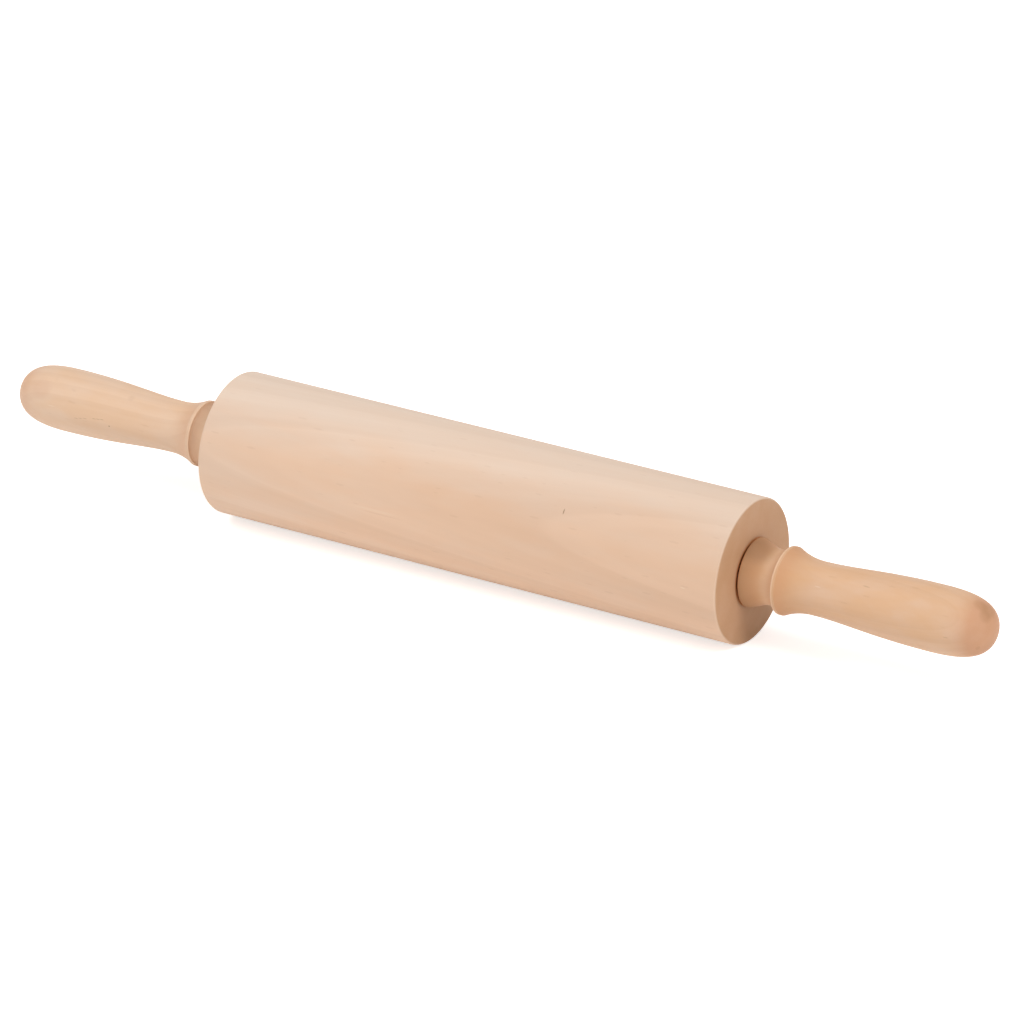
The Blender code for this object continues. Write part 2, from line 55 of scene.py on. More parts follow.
barrel_low, barrel_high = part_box("barrel")
BARREL_RADIUS = (barrel_high.z - barrel_low.z) / 2
AXIS_HEIGHT = (barrel_high.z + barrel_low.z) / 2
BARREL_END = barrel_high.x
BARREL_EDGE = 0.0012
POCKET_RADIUS = 0.0130
POCKET_CHAMFER = 0.0003
POCKET_BOTTOM = 0.11073
BARREL_BORE = 0.0055
BARREL_FACETS = 192
SHARP_EDGE = math.radians(32.0)
LATHE_PATH_RADIUS = 0.000001
LATHE_WELD = 0.00001
TURNED_LABELS = (("Outline", "Geometry"), ("Facets", "Int"))
MM = 1000.0

BARREL_PALE = (0.800, 0.641, 0.520)
BARREL_WARM = (0.828, 0.572, 0.406)
BARREL_END_GRAIN = (0.550, 0.312, 0.172)
# Besides the wood's grain, nicks and pale marks, these browns also paint shade and the sanded pale also
# paints highlights; the last brown is painted shade in the gap behind each handle's foot.
GRAIN_AND_SHADE_BROWN = (0.460, 0.250, 0.135)
FLECK_BROWN = (0.400, 0.205, 0.110)
SANDED_PALE_AND_HIGHLIGHT = (0.860, 0.680, 0.530)
NICK_AND_SHADE_BROWN = (0.230, 0.120, 0.060)
GAP_SHADE_BROWN = (0.600, 0.200, 0.050)

# Figure and flecks: sizes in millimetres, and shares of the colour or the relief.
RING_WANDER = (0.0, 2.4, 2.4)
BANDS_PER_RING = 5.0
FLECK_LENGTH = 9.0
FLECK_WIDTH = 1.3
FLECK_DEPTH = 12.0
FLECK_SIZE = 0.33
FLECK_SOFTNESS = 0.15
FLECK_STRENGTH = 0.10
FLECK_DENT = 0.5
MARK_FADE = (1.0, 0.35)
NOISE_SPAN = (0.3, 0.7)
WOOD_SPECULAR = 0.20

# Where the barrel's tones, its painted shade and its painted highlights begin and are full: heights over its
# axis, places along it and distances from it, in millimetres.
PALE_TOP = (11.0, 29.5)
LEFT_FADE = (-125.0, -20.0)
RIGHT_TONE_AND_SHADE = (-60.0, 120.0)
TAN_SHADE_BAND_FOOT = (-2.0, 9.0)
TAN_SHADE_BAND_TOP = (28.5, 19.0)
PAINTED_SHEEN_TOP = (22.0, 29.0)
END_FACE_PAINTED_SHADE = (4.0, -24.0)
END_FACE_REACH = (121.6, 122.1)
RIM_HIGHLIGHT = (29.1, 29.6)
FOOT_GAP_SHADE = (14.6, 13.6)


def add_node(tree, kind, inputs=None, **settings):
    """Add a node. An input given as a socket is wired up, and any other is set."""
    node = tree.nodes.new(kind)
    for name, value in settings.items():
        setattr(node, name, value)
    for name, value in (inputs or {}).items():
        if isinstance(value, bpy.types.NodeSocket):
            tree.links.new(value, node.inputs[name])
        else:
            node.inputs[name].default_value = value
    return node


def maths(tree, operation, first, second=0.0):
    """The result of one sum."""
    return add_node(tree, "ShaderNodeMath", {0: first, 1: second}, operation=operation).outputs[0]


def times(tree, first, second):
    """Two values multiplied."""
    return maths(tree, "MULTIPLY", first, second)


def vector_maths(tree, operation, first, second, third=(0.0, 0.0, 0.0)):
    """The vector that one sum on vectors gives."""
    inputs = {0: first, 1: second, 2: third}
    return add_node(tree, "ShaderNodeVectorMath", inputs, operation=operation).outputs[0]


def length_of(tree, vector):
    """How long a vector is."""
    return add_node(tree, "ShaderNodeVectorMath", {0: vector}, operation="LENGTH").outputs["Value"]


def split(tree, vector):
    """A vector's X, Y and Z."""
    return add_node(tree, "ShaderNodeSeparateXYZ", {0: vector}).outputs


def off_axis(tree, parts):
    """How far a place is from the X axis, given its X, Y and Z."""
    flat = add_node(tree, "ShaderNodeCombineXYZ", {"Y": parts["Y"], "Z": parts["Z"]})
    return length_of(tree, flat.outputs[0])


def fade(tree, value, low, high, to_low=0.0, to_high=1.0):
    """A value carried smoothly from one range to another."""
    inputs = {"Value": value, "From Min": low, "From Max": high, "To Min": to_low, "To Max": to_high}
    node = add_node(tree, "ShaderNodeMapRange", inputs, interpolation_type="SMOOTHSTEP")
    return node.outputs["Result"]


def patches(tree, value, to_low=0.0, to_high=1.0):
    """Noise carried from the span that holds most of it to another range."""
    return fade(tree, value, *NOISE_SPAN, to_low, to_high)


def blend_colours(tree, share, first, second):
    """Two colours mixed by a share."""
    node = add_node(tree, "ShaderNodeMix", data_type="RGBA")
    for socket, value in ((node.inputs[0], share), (node.inputs[6], first), (node.inputs[7], second)):
        if isinstance(value, bpy.types.NodeSocket):
            tree.links.new(value, socket)
        else:
            socket.default_value = value if isinstance(value, float) else (*value, 1.0)
    return node.outputs[2]


def noise(tree, vector, stretch, detail=3.0, roughness=0.5, output="Fac"):
    """Noise whose lumps are one unit across once the vector has been scaled by stretch."""
    scaled = vector_maths(tree, "MULTIPLY", vector, stretch)
    inputs = {"Vector": scaled, "Scale": 1.0, "Detail": detail, "Roughness": roughness}
    return add_node(tree, "ShaderNodeTexNoise", inputs).outputs[output]


def new_material(name, roughness, metallic=0.0):
    """An empty node material, with its tree and shader."""
    material = bpy.data.materials.new(name)
    material.use_nodes = True
    tree = material.node_tree
    shader = tree.nodes["Principled BSDF"]
    shader.inputs["Roughness"].default_value = roughness
    shader.inputs["Metallic"].default_value = metallic
    return material, tree, shader


def finish_surface(tree, shader, colour, roughness, relief, strength, depth):
    """Wire up a surface's colour, its roughness and its fine relief."""
    inputs = {"Strength": strength, "Distance": depth, "Height": relief}
    normal = add_node(tree, "ShaderNodeBump", inputs).outputs["Normal"]
    for label, value in (("Base Color", colour), ("Roughness", roughness), ("Normal", normal)):
        tree.links.new(value, shader.inputs[label])


def pin_coordinates(tree):
    """Millimetres from the middle of the pin."""
    place = add_node(tree, "ShaderNodeTexCoord").outputs["Object"]
    mapping = {"Vector": place, "Location": (0.0, 0.0, -AXIS_HEIGHT * MM), "Scale": (MM, MM, MM)}
    return add_node(tree, "ShaderNodeMapping", mapping).outputs["Vector"]


def log_rings(tree, log, ring_width, ring_shift):
    """Distance from the pith, rings counted outwards, the angle round the pith and the place along."""
    bend = noise(tree, log, stretch=(0.006, 0.022, 0.022), detail=1.0, output="Color")
    push = vector_maths(tree, "SUBTRACT", bend, (0.5, 0.5, 0.5))
    parts = split(tree, vector_maths(tree, "MULTIPLY_ADD", push, RING_WANDER, log))
    reach = off_axis(tree, parts)
    count = maths(tree, "ADD", maths(tree, "DIVIDE", reach, ring_width), ring_shift)
    angle = maths(tree, "ARCTAN2", parts["Z"], parts["Y"])
    return reach, count, angle, parts["X"]


def late_wood(tree, count):
    """How dark a ring is: pale early wood that deepens slowly and ends in a sharp dark edge."""
    through_ring = maths(tree, "FRACT", count)
    deepened = fade(tree, through_ring, 0.15, 0.90)
    next_ring = fade(tree, through_ring, 0.92, 1.0)
    return maths(tree, "SUBTRACT", deepened, next_ring)


def ray_flecks(tree, reach, angle, along, middle_reach):
    """The short brown lenses that beech shows where its rays meet the surface."""
    cell = add_node(tree, "ShaderNodeCombineXYZ", {
        "X": times(tree, along, 1 / FLECK_LENGTH),
        "Y": times(tree, angle, middle_reach / FLECK_WIDTH),
        "Z": times(tree, reach, 1 / FLECK_DEPTH),
    })
    inputs = {"Vector": cell.outputs[0], "Scale": 1.0, "Randomness": 1.0}
    spots = add_node(tree, "ShaderNodeTexVoronoi", inputs)
    chance = add_node(tree, "ShaderNodeSeparateColor", {"Color": spots.outputs["Color"]}).outputs["Red"]
    edge = times(tree, times(tree, chance, chance), FLECK_SIZE)
    inside = maths(tree, "SUBTRACT", edge, spots.outputs["Distance"])
    return fade(tree, inside, 0.0, FLECK_SOFTNESS)


def start_beech(name, wood_colours, pith, lean, ring_width, ring_shift, figure, base_tone):
    """Beech before its own touches: faint growth rings, fine fibres and ray flecks.

    The colours are pale and warm wood, and figure says how strongly the grain shows. Pith and lean place
    the log's middle, in millimetres and radians. Base tone gives the share of warm wood below the grain.
    """
    pale, warm = wood_colours
    material, tree, shader = new_material(name, roughness=0.5)
    place = pin_coordinates(tree)
    mapping = {"Vector": place, "Location": pith, "Rotation": lean}
    log = add_node(tree, "ShaderNodeMapping", mapping).outputs["Vector"]
    reach, count, angle, along = log_rings(tree, log, ring_width, ring_shift)
    broad_streaks = noise(tree, log, stretch=(0.016, 0.14, 0.14), detail=2.0)
    fine_streaks = noise(tree, log, stretch=(0.040, 0.42, 0.42), detail=2.0)
    fibre = noise(tree, log, stretch=(0.070, 1.6, 1.6))
    inputs = {"W": count, "Scale": BANDS_PER_RING, "Detail": 2.0}
    bands = add_node(tree, "ShaderNodeTexNoise", inputs, noise_dimensions="1D").outputs["Fac"]
    grain = 0.0
    for pattern, low, high, share in (
        (late_wood(tree, count), 0.0, 1.0, 0.76),
        (bands, 0.30, 0.70, 0.34),
        (broad_streaks, 0.30, 0.70, 0.26),
        (fine_streaks, 0.25, 0.75, 0.15),
        (fibre, 0.25, 0.75, 0.10),
    ):
        grain = maths(tree, "ADD", grain, fade(tree, pattern, low, high, 0.0, share * figure))
    colour = blend_colours(tree, base_tone(tree, place), pale, warm)
    colour = blend_colours(tree, grain, colour, GRAIN_AND_SHADE_BROWN)
    flecks = ray_flecks(tree, reach, angle, along, Vector(pith).length)
    colour = blend_colours(tree, times(tree, flecks, FLECK_STRENGTH), colour, FLECK_BROWN)
    relief = maths(tree, "SUBTRACT", fibre, times(tree, flecks, FLECK_DENT))
    return {
        "material": material, "tree": tree, "shader": shader, "place": place, "colour": colour,
        "relief": relief, "fibre": fibre,
    }


def tint(wood, share, colour, strength=1.0):
    """Lay a colour over the wood by a share times a strength."""
    tree = wood["tree"]
    wood["colour"] = blend_colours(tree, times(tree, share, strength), wood["colour"], colour)


def mark_wood(wood, colour, strength, *spots, dent=0.0):
    """Small marks: each spot is its middle and half its size along X, Y and Z, in millimetres."""
    tree = wood["tree"]
    for middle, size in spots:
        from_middle = vector_maths(tree, "SUBTRACT", wood["place"], middle)
        distance = length_of(tree, vector_maths(tree, "DIVIDE", from_middle, size))
        inside = fade(tree, distance, *MARK_FADE)
        tint(wood, inside, colour, strength)
        if dent:
            wood["relief"] = maths(tree, "SUBTRACT", wood["relief"], times(tree, inside, dent))


def end_grain(wood, colour, first_tilt, full_tilt, strength):
    """Darker, mottled wood where the surface cuts across the fibres. Tilts are the normal's X."""
    tree, place = wood["tree"], wood["place"]
    normal = add_node(tree, "ShaderNodeTexCoord").outputs["Normal"]
    across = maths(tree, "ABSOLUTE", split(tree, normal)["X"])
    pores = noise(tree, place, stretch=(0.6, 2.4, 2.4), roughness=0.65)
    clouds = noise(tree, place, stretch=(0.05, 0.11, 0.11), detail=2.0)
    share = times(tree, fade(tree, across, first_tilt, full_tilt), strength)
    share = times(tree, share, fade(tree, pores, 0.25, 0.75, to_low=0.92))
    share = times(tree, share, patches(tree, clouds, to_low=0.90))
    tint(wood, share, colour)
    return share


def finish_beech(wood, roughness):
    """Wire up the colour, the sheen and the fine relief of sanded wood."""
    tree, shader = wood["tree"], wood["shader"]
    sheen = fade(tree, wood["fibre"], 0.2, 0.8, roughness - 0.05, roughness + 0.06)
    finish_surface(tree, shader, wood["colour"], sheen, wood["relief"], strength=0.12, depth=0.00006)
    shader.inputs["Specular IOR Level"].default_value = WOOD_SPECULAR
    return wood["material"]


def arc(centre, radius, start_angle, end_angle, steps):
    """Outline points on an arc, in degrees from the X direction, both ends included."""
    points = []
    for step in range(steps + 1):
        angle = math.radians(start_angle + (end_angle - start_angle) * step / steps)
        points.append((centre[0] + radius * math.cos(angle), centre[1] + radius * math.sin(angle)))
    return points


def new_tree(name, *labels):
    """A Geometry Nodes tree and its inputs, with the height of the pin's axis and the piece's material."""
    tree = bpy.data.node_groups.new(name, "GeometryNodeTree")
    for label, kind in (*labels, ("Axis height", "Float"), ("Finish", "Material")):
        tree.interface.new_socket(label, in_out="INPUT", socket_type="NodeSocket" + kind)
    tree.interface.new_socket("Piece", in_out="OUTPUT", socket_type="NodeSocketGeometry")
    return tree, add_node(tree, "NodeGroupInput").outputs


def end_tree(tree, geometry, sizes):
    """Close a tree: instances made real and the material set."""
    whole = add_node(tree, "GeometryNodeRealizeInstances", {"Geometry": geometry})
    inputs = {"Geometry": whole.outputs["Geometry"], "Material": sizes["Finish"]}
    dressed = add_node(tree, "GeometryNodeSetMaterial", inputs)
    add_node(tree, "NodeGroupOutput", {"Piece": dressed.outputs["Geometry"]})
    return tree


def weld(tree, geometry, distance):
    """Nodes that join points closer than a distance."""
    inputs = {"Geometry": geometry, "Distance": distance}
    return add_node(tree, "GeometryNodeMergeByDistance", inputs).outputs["Geometry"]


def lay(tree, geometry, place, turned):
    """Nodes that turn a shape and then move it."""
    inputs = {"Geometry": geometry, "Translation": place, "Rotation": turned}
    return add_node(tree, "GeometryNodeTransform", inputs).outputs["Geometry"]


def turn_outline(tree, sizes):
    """Nodes that turn an outline about X. Its X is the radius and its Y the place along the piece."""
    profile = add_node(tree, "GeometryNodeMeshToCurve", {"Mesh": sizes["Outline"]})
    circle = {"Resolution": sizes["Facets"], "Radius": LATHE_PATH_RADIUS}
    path = add_node(tree, "GeometryNodeCurvePrimitiveCircle", circle)
    curves = {"Curve": path.outputs["Curve"], "Profile Curve": profile.outputs["Curve"]}
    swept = add_node(tree, "GeometryNodeCurveToMesh", curves)
    welded = weld(tree, swept.outputs["Mesh"], LATHE_WELD)
    lift = add_node(tree, "ShaderNodeCombineXYZ", {"Z": sizes["Axis height"]})
    return lay(tree, welded, lift.outputs[0], (0.0, -math.pi / 2, 0.0))


def build_lathe():
    """The tree for a plain turned piece."""
    tree, sizes = new_tree("lathe", *TURNED_LABELS)
    return end_tree(tree, turn_outline(tree, sizes), sizes)


def make_piece(name, section, node_tree, values):
    """Run a Geometry Nodes tree on a section and keep the result as a plain mesh with faces outwards."""
    mesh = bpy.data.meshes.new(name)
    mesh.from_pydata(*section, [])
    piece = bpy.data.objects.new(name, mesh)
    bpy.context.scene.collection.objects.link(piece)
    modifier = piece.modifiers.new("shape", "NODES")
    modifier.node_group = node_tree
    values = {**values, "Axis height": AXIS_HEIGHT}
    for socket in node_tree.interface.items_tree:
        if socket.name in values:
            modifier[socket.identifier] = values[socket.name]
    bpy.context.view_layer.update()
    seen = piece.evaluated_get(bpy.context.evaluated_depsgraph_get())
    made = bpy.data.meshes.new_from_object(seen)
    piece.modifiers.clear()
    piece.data = made
    made.name = name
    bm = bmesh.new()
    bm.from_mesh(made)
    bmesh.ops.recalc_face_normals(bm, faces=bm.faces[:])
    bm.to_mesh(made)
    bm.free()
    made.shade_smooth()
    made.set_sharp_from_angle(angle=SHARP_EDGE)
    return piece


def outline_edges(outline, closed):
    """The edges that join an outline's points in turn."""
    count = len(outline)
    return [(number, (number + 1) % count) for number in range(count if closed else count - 1)]


def lathe_section(outline, closed=True):
    """The points and edges that stand for an outline of (place along X, radius) points."""
    return [(radius, along, 0.0) for along, radius in outline], outline_edges(outline, closed)


def turn(name, outline, material, facets, closed=True):
    """Turn an outline on the lathe."""
    return make_piece(name, lathe_section(outline, closed), LATHE, {"Facets": facets, "Finish": material})


def both_halves(half):
    """A whole outline from left to right, given its right half."""
    return [(-along, radius) for along, radius in reversed(half)] + half


def barrel_tone(tree, place):
    """A paler top and warmer wood below, fading out towards the left; the paler top is partly the wood's own
    tone and partly painted sheen and light from above.
    """
    wander = noise(tree, place, stretch=(0.012, 0.05, 0.05), detail=2.0)
    mottle = noise(tree, place, stretch=(0.035, 0.12, 0.12))
    parts = split(tree, place)
    height = maths(tree, "ADD", parts["Z"], patches(tree, wander, -3.0, 3.0))
    fullness = fade(tree, parts["X"], *LEFT_FADE, to_low=0.70)
    tone = times(tree, fade(tree, height, *PALE_TOP, to_low=0.96, to_high=0.24), fullness)
    return maths(tree, "ADD", tone, patches(tree, mottle, -0.14, 0.14))


def barrel_beech():
    """The barrel's wood: its tones, the marks on its front, and its ends, with a painted highlight along each
    rim and painted shade in the gap behind each handle's foot. It also carries a painted sheen along the top,
    painted shade low on each end face, and a darker band across the front and towards the right end that are
    partly warmer wood and partly painted shade.
    """
    wood = start_beech(
        "barrel_beech",
        (BARREL_PALE, BARREL_WARM),
        pith=(0.0, -92.7, 37.5),
        lean=(0.0, -0.024, -0.046),
        ring_width=8.2,
        ring_shift=0.862,
        figure=0.105,
        base_tone=barrel_tone,
    )
    tree = wood["tree"]
    mark_wood(wood, SANDED_PALE_AND_HIGHLIGHT, 0.22, ((-36.0, -30.0, 0.6), (14.0, 4.0, 0.8)))
    mark_wood(wood, FLECK_BROWN, 0.10, ((-33.0, -30.0, -0.6), (12.0, 4.0, 0.45)))
    parts = split(tree, wood["place"])
    height = parts["Z"]
    # The barrel is painted darker towards its right end: partly warmer wood, partly painted shade for the
    # light falling off to the right.
    tint(wood, fade(tree, parts["X"], *RIGHT_TONE_AND_SHADE), GRAIN_AND_SHADE_BROWN, strength=0.10)
    # A darker, warmer band across the front: partly the wood's tone, partly painted shade where the lamps
    # light the front most.
    tan_and_shade_band = times(tree, fade(tree, height, *TAN_SHADE_BAND_FOOT), fade(tree, height, *TAN_SHADE_BAND_TOP))
    tint(wood, tan_and_shade_band, GRAIN_AND_SHADE_BROWN, strength=0.11)
    # The strip along the top is painted paler still: a painted sheen.
    tint(wood, fade(tree, height, *PAINTED_SHEEN_TOP), BARREL_PALE, strength=0.40)
    cut_share = end_grain(wood, BARREL_END_GRAIN, first_tilt=0.50, full_tilt=0.98, strength=1.0)
    # The lower half of each end face is painted darker: painted shade beneath the handle's neck.
    tint(wood, times(tree, cut_share, fade(tree, height, *END_FACE_PAINTED_SHADE)), NICK_AND_SHADE_BROWN, strength=0.17)
    # Each end face carries a painted highlight along the barrel's rim and painted shade in the gap behind the
    # handle's foot.
    near_end = fade(tree, maths(tree, "ABSOLUTE", parts["X"]), *END_FACE_REACH)
    for span, colour, strength in ((RIM_HIGHLIGHT, SANDED_PALE_AND_HIGHLIGHT, 0.25), (FOOT_GAP_SHADE, GAP_SHADE_BROWN, 0.75)):
        painted_ring = times(tree, near_end, fade(tree, off_axis(tree, parts), *span))
        tint(wood, painted_ring, colour, strength)
    mark_wood(wood, SANDED_PALE_AND_HIGHLIGHT, 0.50, ((107.9, -30.0, 1.1), (1.5, 1.0, 0.35)))
    mark_wood(wood, NICK_AND_SHADE_BROWN, 0.75, ((49.6, -24.0, 18.0), (0.34, 1.4, 1.7)), dent=3.0)
    return finish_beech(wood, roughness=0.60)


LATHE = build_lathe()
edge_centre = (BARREL_END - BARREL_EDGE, BARREL_RADIUS - BARREL_EDGE)
barrel_half = arc(edge_centre, BARREL_EDGE, 90.0, 0.0, 8)
barrel_half += [
    (BARREL_END, POCKET_RADIUS + POCKET_CHAMFER),
    (BARREL_END - POCKET_CHAMFER, POCKET_RADIUS),
    (POCKET_BOTTOM, POCKET_RADIUS),
    (POCKET_BOTTOM, BARREL_BORE),
]
barrel = turn("beech_barrel", both_halves(barrel_half), barrel_beech(), BARREL_FACETS)
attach(barrel, "barrel")
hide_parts("barrel")


# Bearing cups
# Each end of the barrel has a moulded brown nylon cup, pressed into its pocket. A thin wall stops the
# bearing inside, and a bead round the mouth snaps over it.

BEARING_PLACE = 0.116415
BEARING_SIDE = 0.003485
CUP_BORE = 0.0113
CUP_RADIUS = 0.0127
CUP_HOLE = 0.0075
CUP_INNER_FACE = -0.003785
CUP_END_WALL = 0.0016
CUP_MOUTH = 0.005685
BEAD_RADIUS = 0.0108
BEAD_START = 0.003785
BEAD_RAMP = 0.0003
BEARING_FACETS = 96
CUP_CORNER = 0.00025
CORNER_STEPS = 3
LONGEST_CUT = 0.45
ENDS = (("right", 1), ("left", -1))

CUP_BROWN = (0.420, 0.170, 0.060)
CUP_DARK = (0.300, 0.115, 0.040)


def soften(outline, radius, steps=CORNER_STEPS):
    """A closed outline with each corner rounded."""
    softened = []
    for number, corner in enumerate(outline):
        before, after = Vector(outline[number - 1]), Vector(outline[(number + 1) % len(outline)])
        corner = Vector(corner)
        cut = min(radius, (before - corner).length * LONGEST_CUT, (after - corner).length * LONGEST_CUT)
        start = corner + (before - corner).normalized() * cut
        end = corner + (after - corner).normalized() * cut
        for step in range(steps + 1):
            t = step / steps
            softened.append(tuple((1 - t) ** 2 * start + 2 * t * (1 - t) * corner + t ** 2 * end))
    return softened


def moulded_nylon(name, colour, deep_colour, roughness):
    """Nylon as it leaves the mould: slightly uneven in colour and finely matt."""
    material, tree, shader = new_material(name, roughness)
    place = pin_coordinates(tree)
    clouds = noise(tree, place, stretch=(0.35, 0.35, 0.35))
    grain = noise(tree, place, stretch=(7.0, 7.0, 7.0), detail=2.0)
    clouded = blend_colours(tree, patches(tree, clouds), colour, deep_colour)
    matt = patches(tree, grain, roughness - 0.06, roughness + 0.08)
    finish_surface(tree, shader, clouded, matt, grain, strength=0.10, depth=0.00003)
    return material


def at_bearing(outline, side, facing=1):
    """An outline moved to one bearing. Side is the end of the pin, and facing turns the piece round."""
    return [(side * (BEARING_PLACE + facing * along), radius) for along, radius in outline]


cup_outline = soften([
    (CUP_INNER_FACE - CUP_END_WALL, CUP_HOLE),
    (CUP_INNER_FACE - CUP_END_WALL, CUP_RADIUS),
    (CUP_MOUTH, CUP_RADIUS),
    (CUP_MOUTH, CUP_BORE),
    (BEAD_START + BEAD_RAMP, BEAD_RADIUS),
    (BEAD_START, CUP_BORE),
    (CUP_INNER_FACE, CUP_BORE),
    (CUP_INNER_FACE, CUP_HOLE),
], CUP_CORNER)
cup_nylon = moulded_nylon("cup_nylon", CUP_BROWN, CUP_DARK, roughness=0.42)
for end, side in ENDS:
    cup = turn(end + "_nylon_cup", at_bearing(cup_outline, side), cup_nylon, BEARING_FACETS)
    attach(cup, "barrel")
    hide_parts(end + "_bearing_cup")


# Bearing rings
# The rings are hardened steel, ground on their faces and honed in the ball grooves. The outer one stays
# in the cup and has a step for a shield at each side, and the inner one stays on the axle.

RING_RADIUS = 0.0110
RING_BORE = 0.0043
INNER_LAND = 0.0060
OUTER_LAND = 0.00897
STEP_RADIUS = 0.01007
STEP_DEPTH_PLACE = 0.002585
RING_CHAMFER = 0.0003
PITCH_RADIUS = 0.007485
GROOVE_RADIUS = 0.002185
GROOVE_DEPTH = 0.0007
GROOVE_STEPS = 20
OILED_ROUGHNESS = 0.04
LEAST_ROUGHNESS = 0.03

RING_STEEL = (0.640, 0.640, 0.650)
RING_SHADE = (0.500, 0.505, 0.520)


def machined_steel(name, colour, shade, roughness, lines_per_mm):
    """Bright steel with fine rings left by the tool, under a thin film of oil."""
    material, tree, shader = new_material(name, roughness, metallic=1.0)
    place = pin_coordinates(tree)
    parts = split(tree, place)
    section = add_node(tree, "ShaderNodeCombineXYZ", {"X": off_axis(tree, parts), "Y": parts["X"]})
    rings = noise(tree, section.outputs[0], stretch=(lines_per_mm,) * 3)
    oil = noise(tree, place, stretch=(0.45, 0.45, 0.45))
    share = maths(tree, "ADD", patches(tree, rings, 0.0, 0.45), fade(tree, oil, 0.35, 0.75, 0.0, 0.45))
    oiled = patches(tree, oil, roughness, OILED_ROUGHNESS)
    gloss = maths(tree, "ADD", patches(tree, rings, -0.05, 0.07), oiled)
    gloss = maths(tree, "MAXIMUM", gloss, LEAST_ROUGHNESS)
    shaded = blend_colours(tree, share, colour, shade)
    finish_surface(tree, shader, shaded, gloss, rings, strength=0.08, depth=0.00002)
    return material


def groove(middle_angle):
    """The ball groove's section: an arc about the ball, cut off at the ring's land."""
    half_angle = math.degrees(math.acos((GROOVE_RADIUS - GROOVE_DEPTH) / GROOVE_RADIUS))
    turn_by = math.copysign(half_angle, middle_angle)
    start, end = middle_angle + turn_by, middle_angle - turn_by
    return arc((0.0, PITCH_RADIUS), GROOVE_RADIUS, start, end, GROOVE_STEPS)


inner_ring_outline = [(-BEARING_SIDE, INNER_LAND)] + groove(-90.0) + [
    (BEARING_SIDE, INNER_LAND),
    (BEARING_SIDE, RING_BORE + RING_CHAMFER),
    (BEARING_SIDE - RING_CHAMFER, RING_BORE),
    (RING_CHAMFER - BEARING_SIDE, RING_BORE),
    (-BEARING_SIDE, RING_BORE + RING_CHAMFER),
]
outer_ring_outline = [
    (-BEARING_SIDE, RING_RADIUS - RING_CHAMFER),
    (-BEARING_SIDE, STEP_RADIUS),
    (-STEP_DEPTH_PLACE, STEP_RADIUS),
    (-STEP_DEPTH_PLACE, OUTER_LAND),
] + groove(90.0) + [
    (STEP_DEPTH_PLACE, OUTER_LAND),
    (STEP_DEPTH_PLACE, STEP_RADIUS),
    (BEARING_SIDE, STEP_RADIUS),
    (BEARING_SIDE, RING_RADIUS - RING_CHAMFER),
    (BEARING_SIDE - RING_CHAMFER, RING_RADIUS),
    (RING_CHAMFER - BEARING_SIDE, RING_RADIUS),
]
ring_steel = machined_steel("ring_steel", RING_STEEL, RING_SHADE, roughness=0.16, lines_per_mm=9.0)
for end, side in ENDS:
    for kind, outline, body in (
        ("inner_ring", inner_ring_outline, "handles_and_axle"), ("outer_ring", outer_ring_outline, "barrel")
    ):
        ring = turn(end + "_steel_" + kind, at_bearing(outline, side), ring_steel, BEARING_FACETS)
        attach(ring, body)
        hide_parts(end + "_" + kind)


# Balls
# Seven polished steel balls run in each bearing's grooves. They are ground and lapped to one size, and the
# cage spaces them evenly and goes round with them.

BALL_RADIUS = 0.001985
BALL_COUNT = 7
BALL_SMOOTHNESS = 4
ONE_POINT = ([(0.0, 0.0, 0.0)], [])
CIRCLE_LABELS = (("Count", "Int"), ("Circle radius", "Float"), ("Place", "Float"), ("Side", "Float"))

BALL_STEEL = (0.700, 0.700, 0.710)
BALL_SHADE = (0.560, 0.565, 0.580)


def stand_up(tree, geometry, given):
    """Nodes that stand a flat shape up across the pin's axis, at its place along it."""
    middle = add_node(tree, "ShaderNodeCombineXYZ", {"X": given["Place"], "Z": given["Axis height"]})
    turns = {"X": math.pi / 2, "Z": times(tree, given["Side"], math.pi / 2)}
    turned = add_node(tree, "ShaderNodeCombineXYZ", turns)
    return lay(tree, geometry, middle.outputs[0], turned.outputs[0])


def spaced_round(tree, given, shape):
    """Nodes that set a shape at evenly spaced points on a circle about the pin's axis."""
    inputs = {"Vertices": given["Count"], "Radius": given["Circle radius"]}
    circle = add_node(tree, "GeometryNodeMeshCircle", inputs)
    place = {"Vector": add_node(tree, "GeometryNodeInputPosition").outputs["Position"]}
    outwards = add_node(tree, "FunctionNodeAlignRotationToVector", place, axis="X", pivot_axis="Z")
    inputs = {"Points": circle.outputs["Mesh"], "Instance": shape, "Rotation": outwards.outputs["Rotation"]}
    row = add_node(tree, "GeometryNodeInstanceOnPoints", inputs)
    return stand_up(tree, row.outputs["Instances"], given)


def build_ball_ring():
    """The tree for one bearing's balls."""
    tree, sizes = new_tree("ball_ring", *CIRCLE_LABELS, ("Ball radius", "Float"), ("Smoothness", "Int"))
    inputs = {"Radius": sizes["Ball radius"], "Subdivisions": sizes["Smoothness"]}
    ball = add_node(tree, "GeometryNodeMeshIcoSphere", inputs)
    return end_tree(tree, spaced_round(tree, sizes, ball.outputs["Mesh"]), sizes)


def round_bearing(side, sizes):
    """A tree's values for something at every ball of one bearing, with the sizes that it also takes."""
    circle = {"Count": BALL_COUNT, "Circle radius": PITCH_RADIUS}
    return {**circle, "Place": side * BEARING_PLACE, "Side": float(side), **sizes}


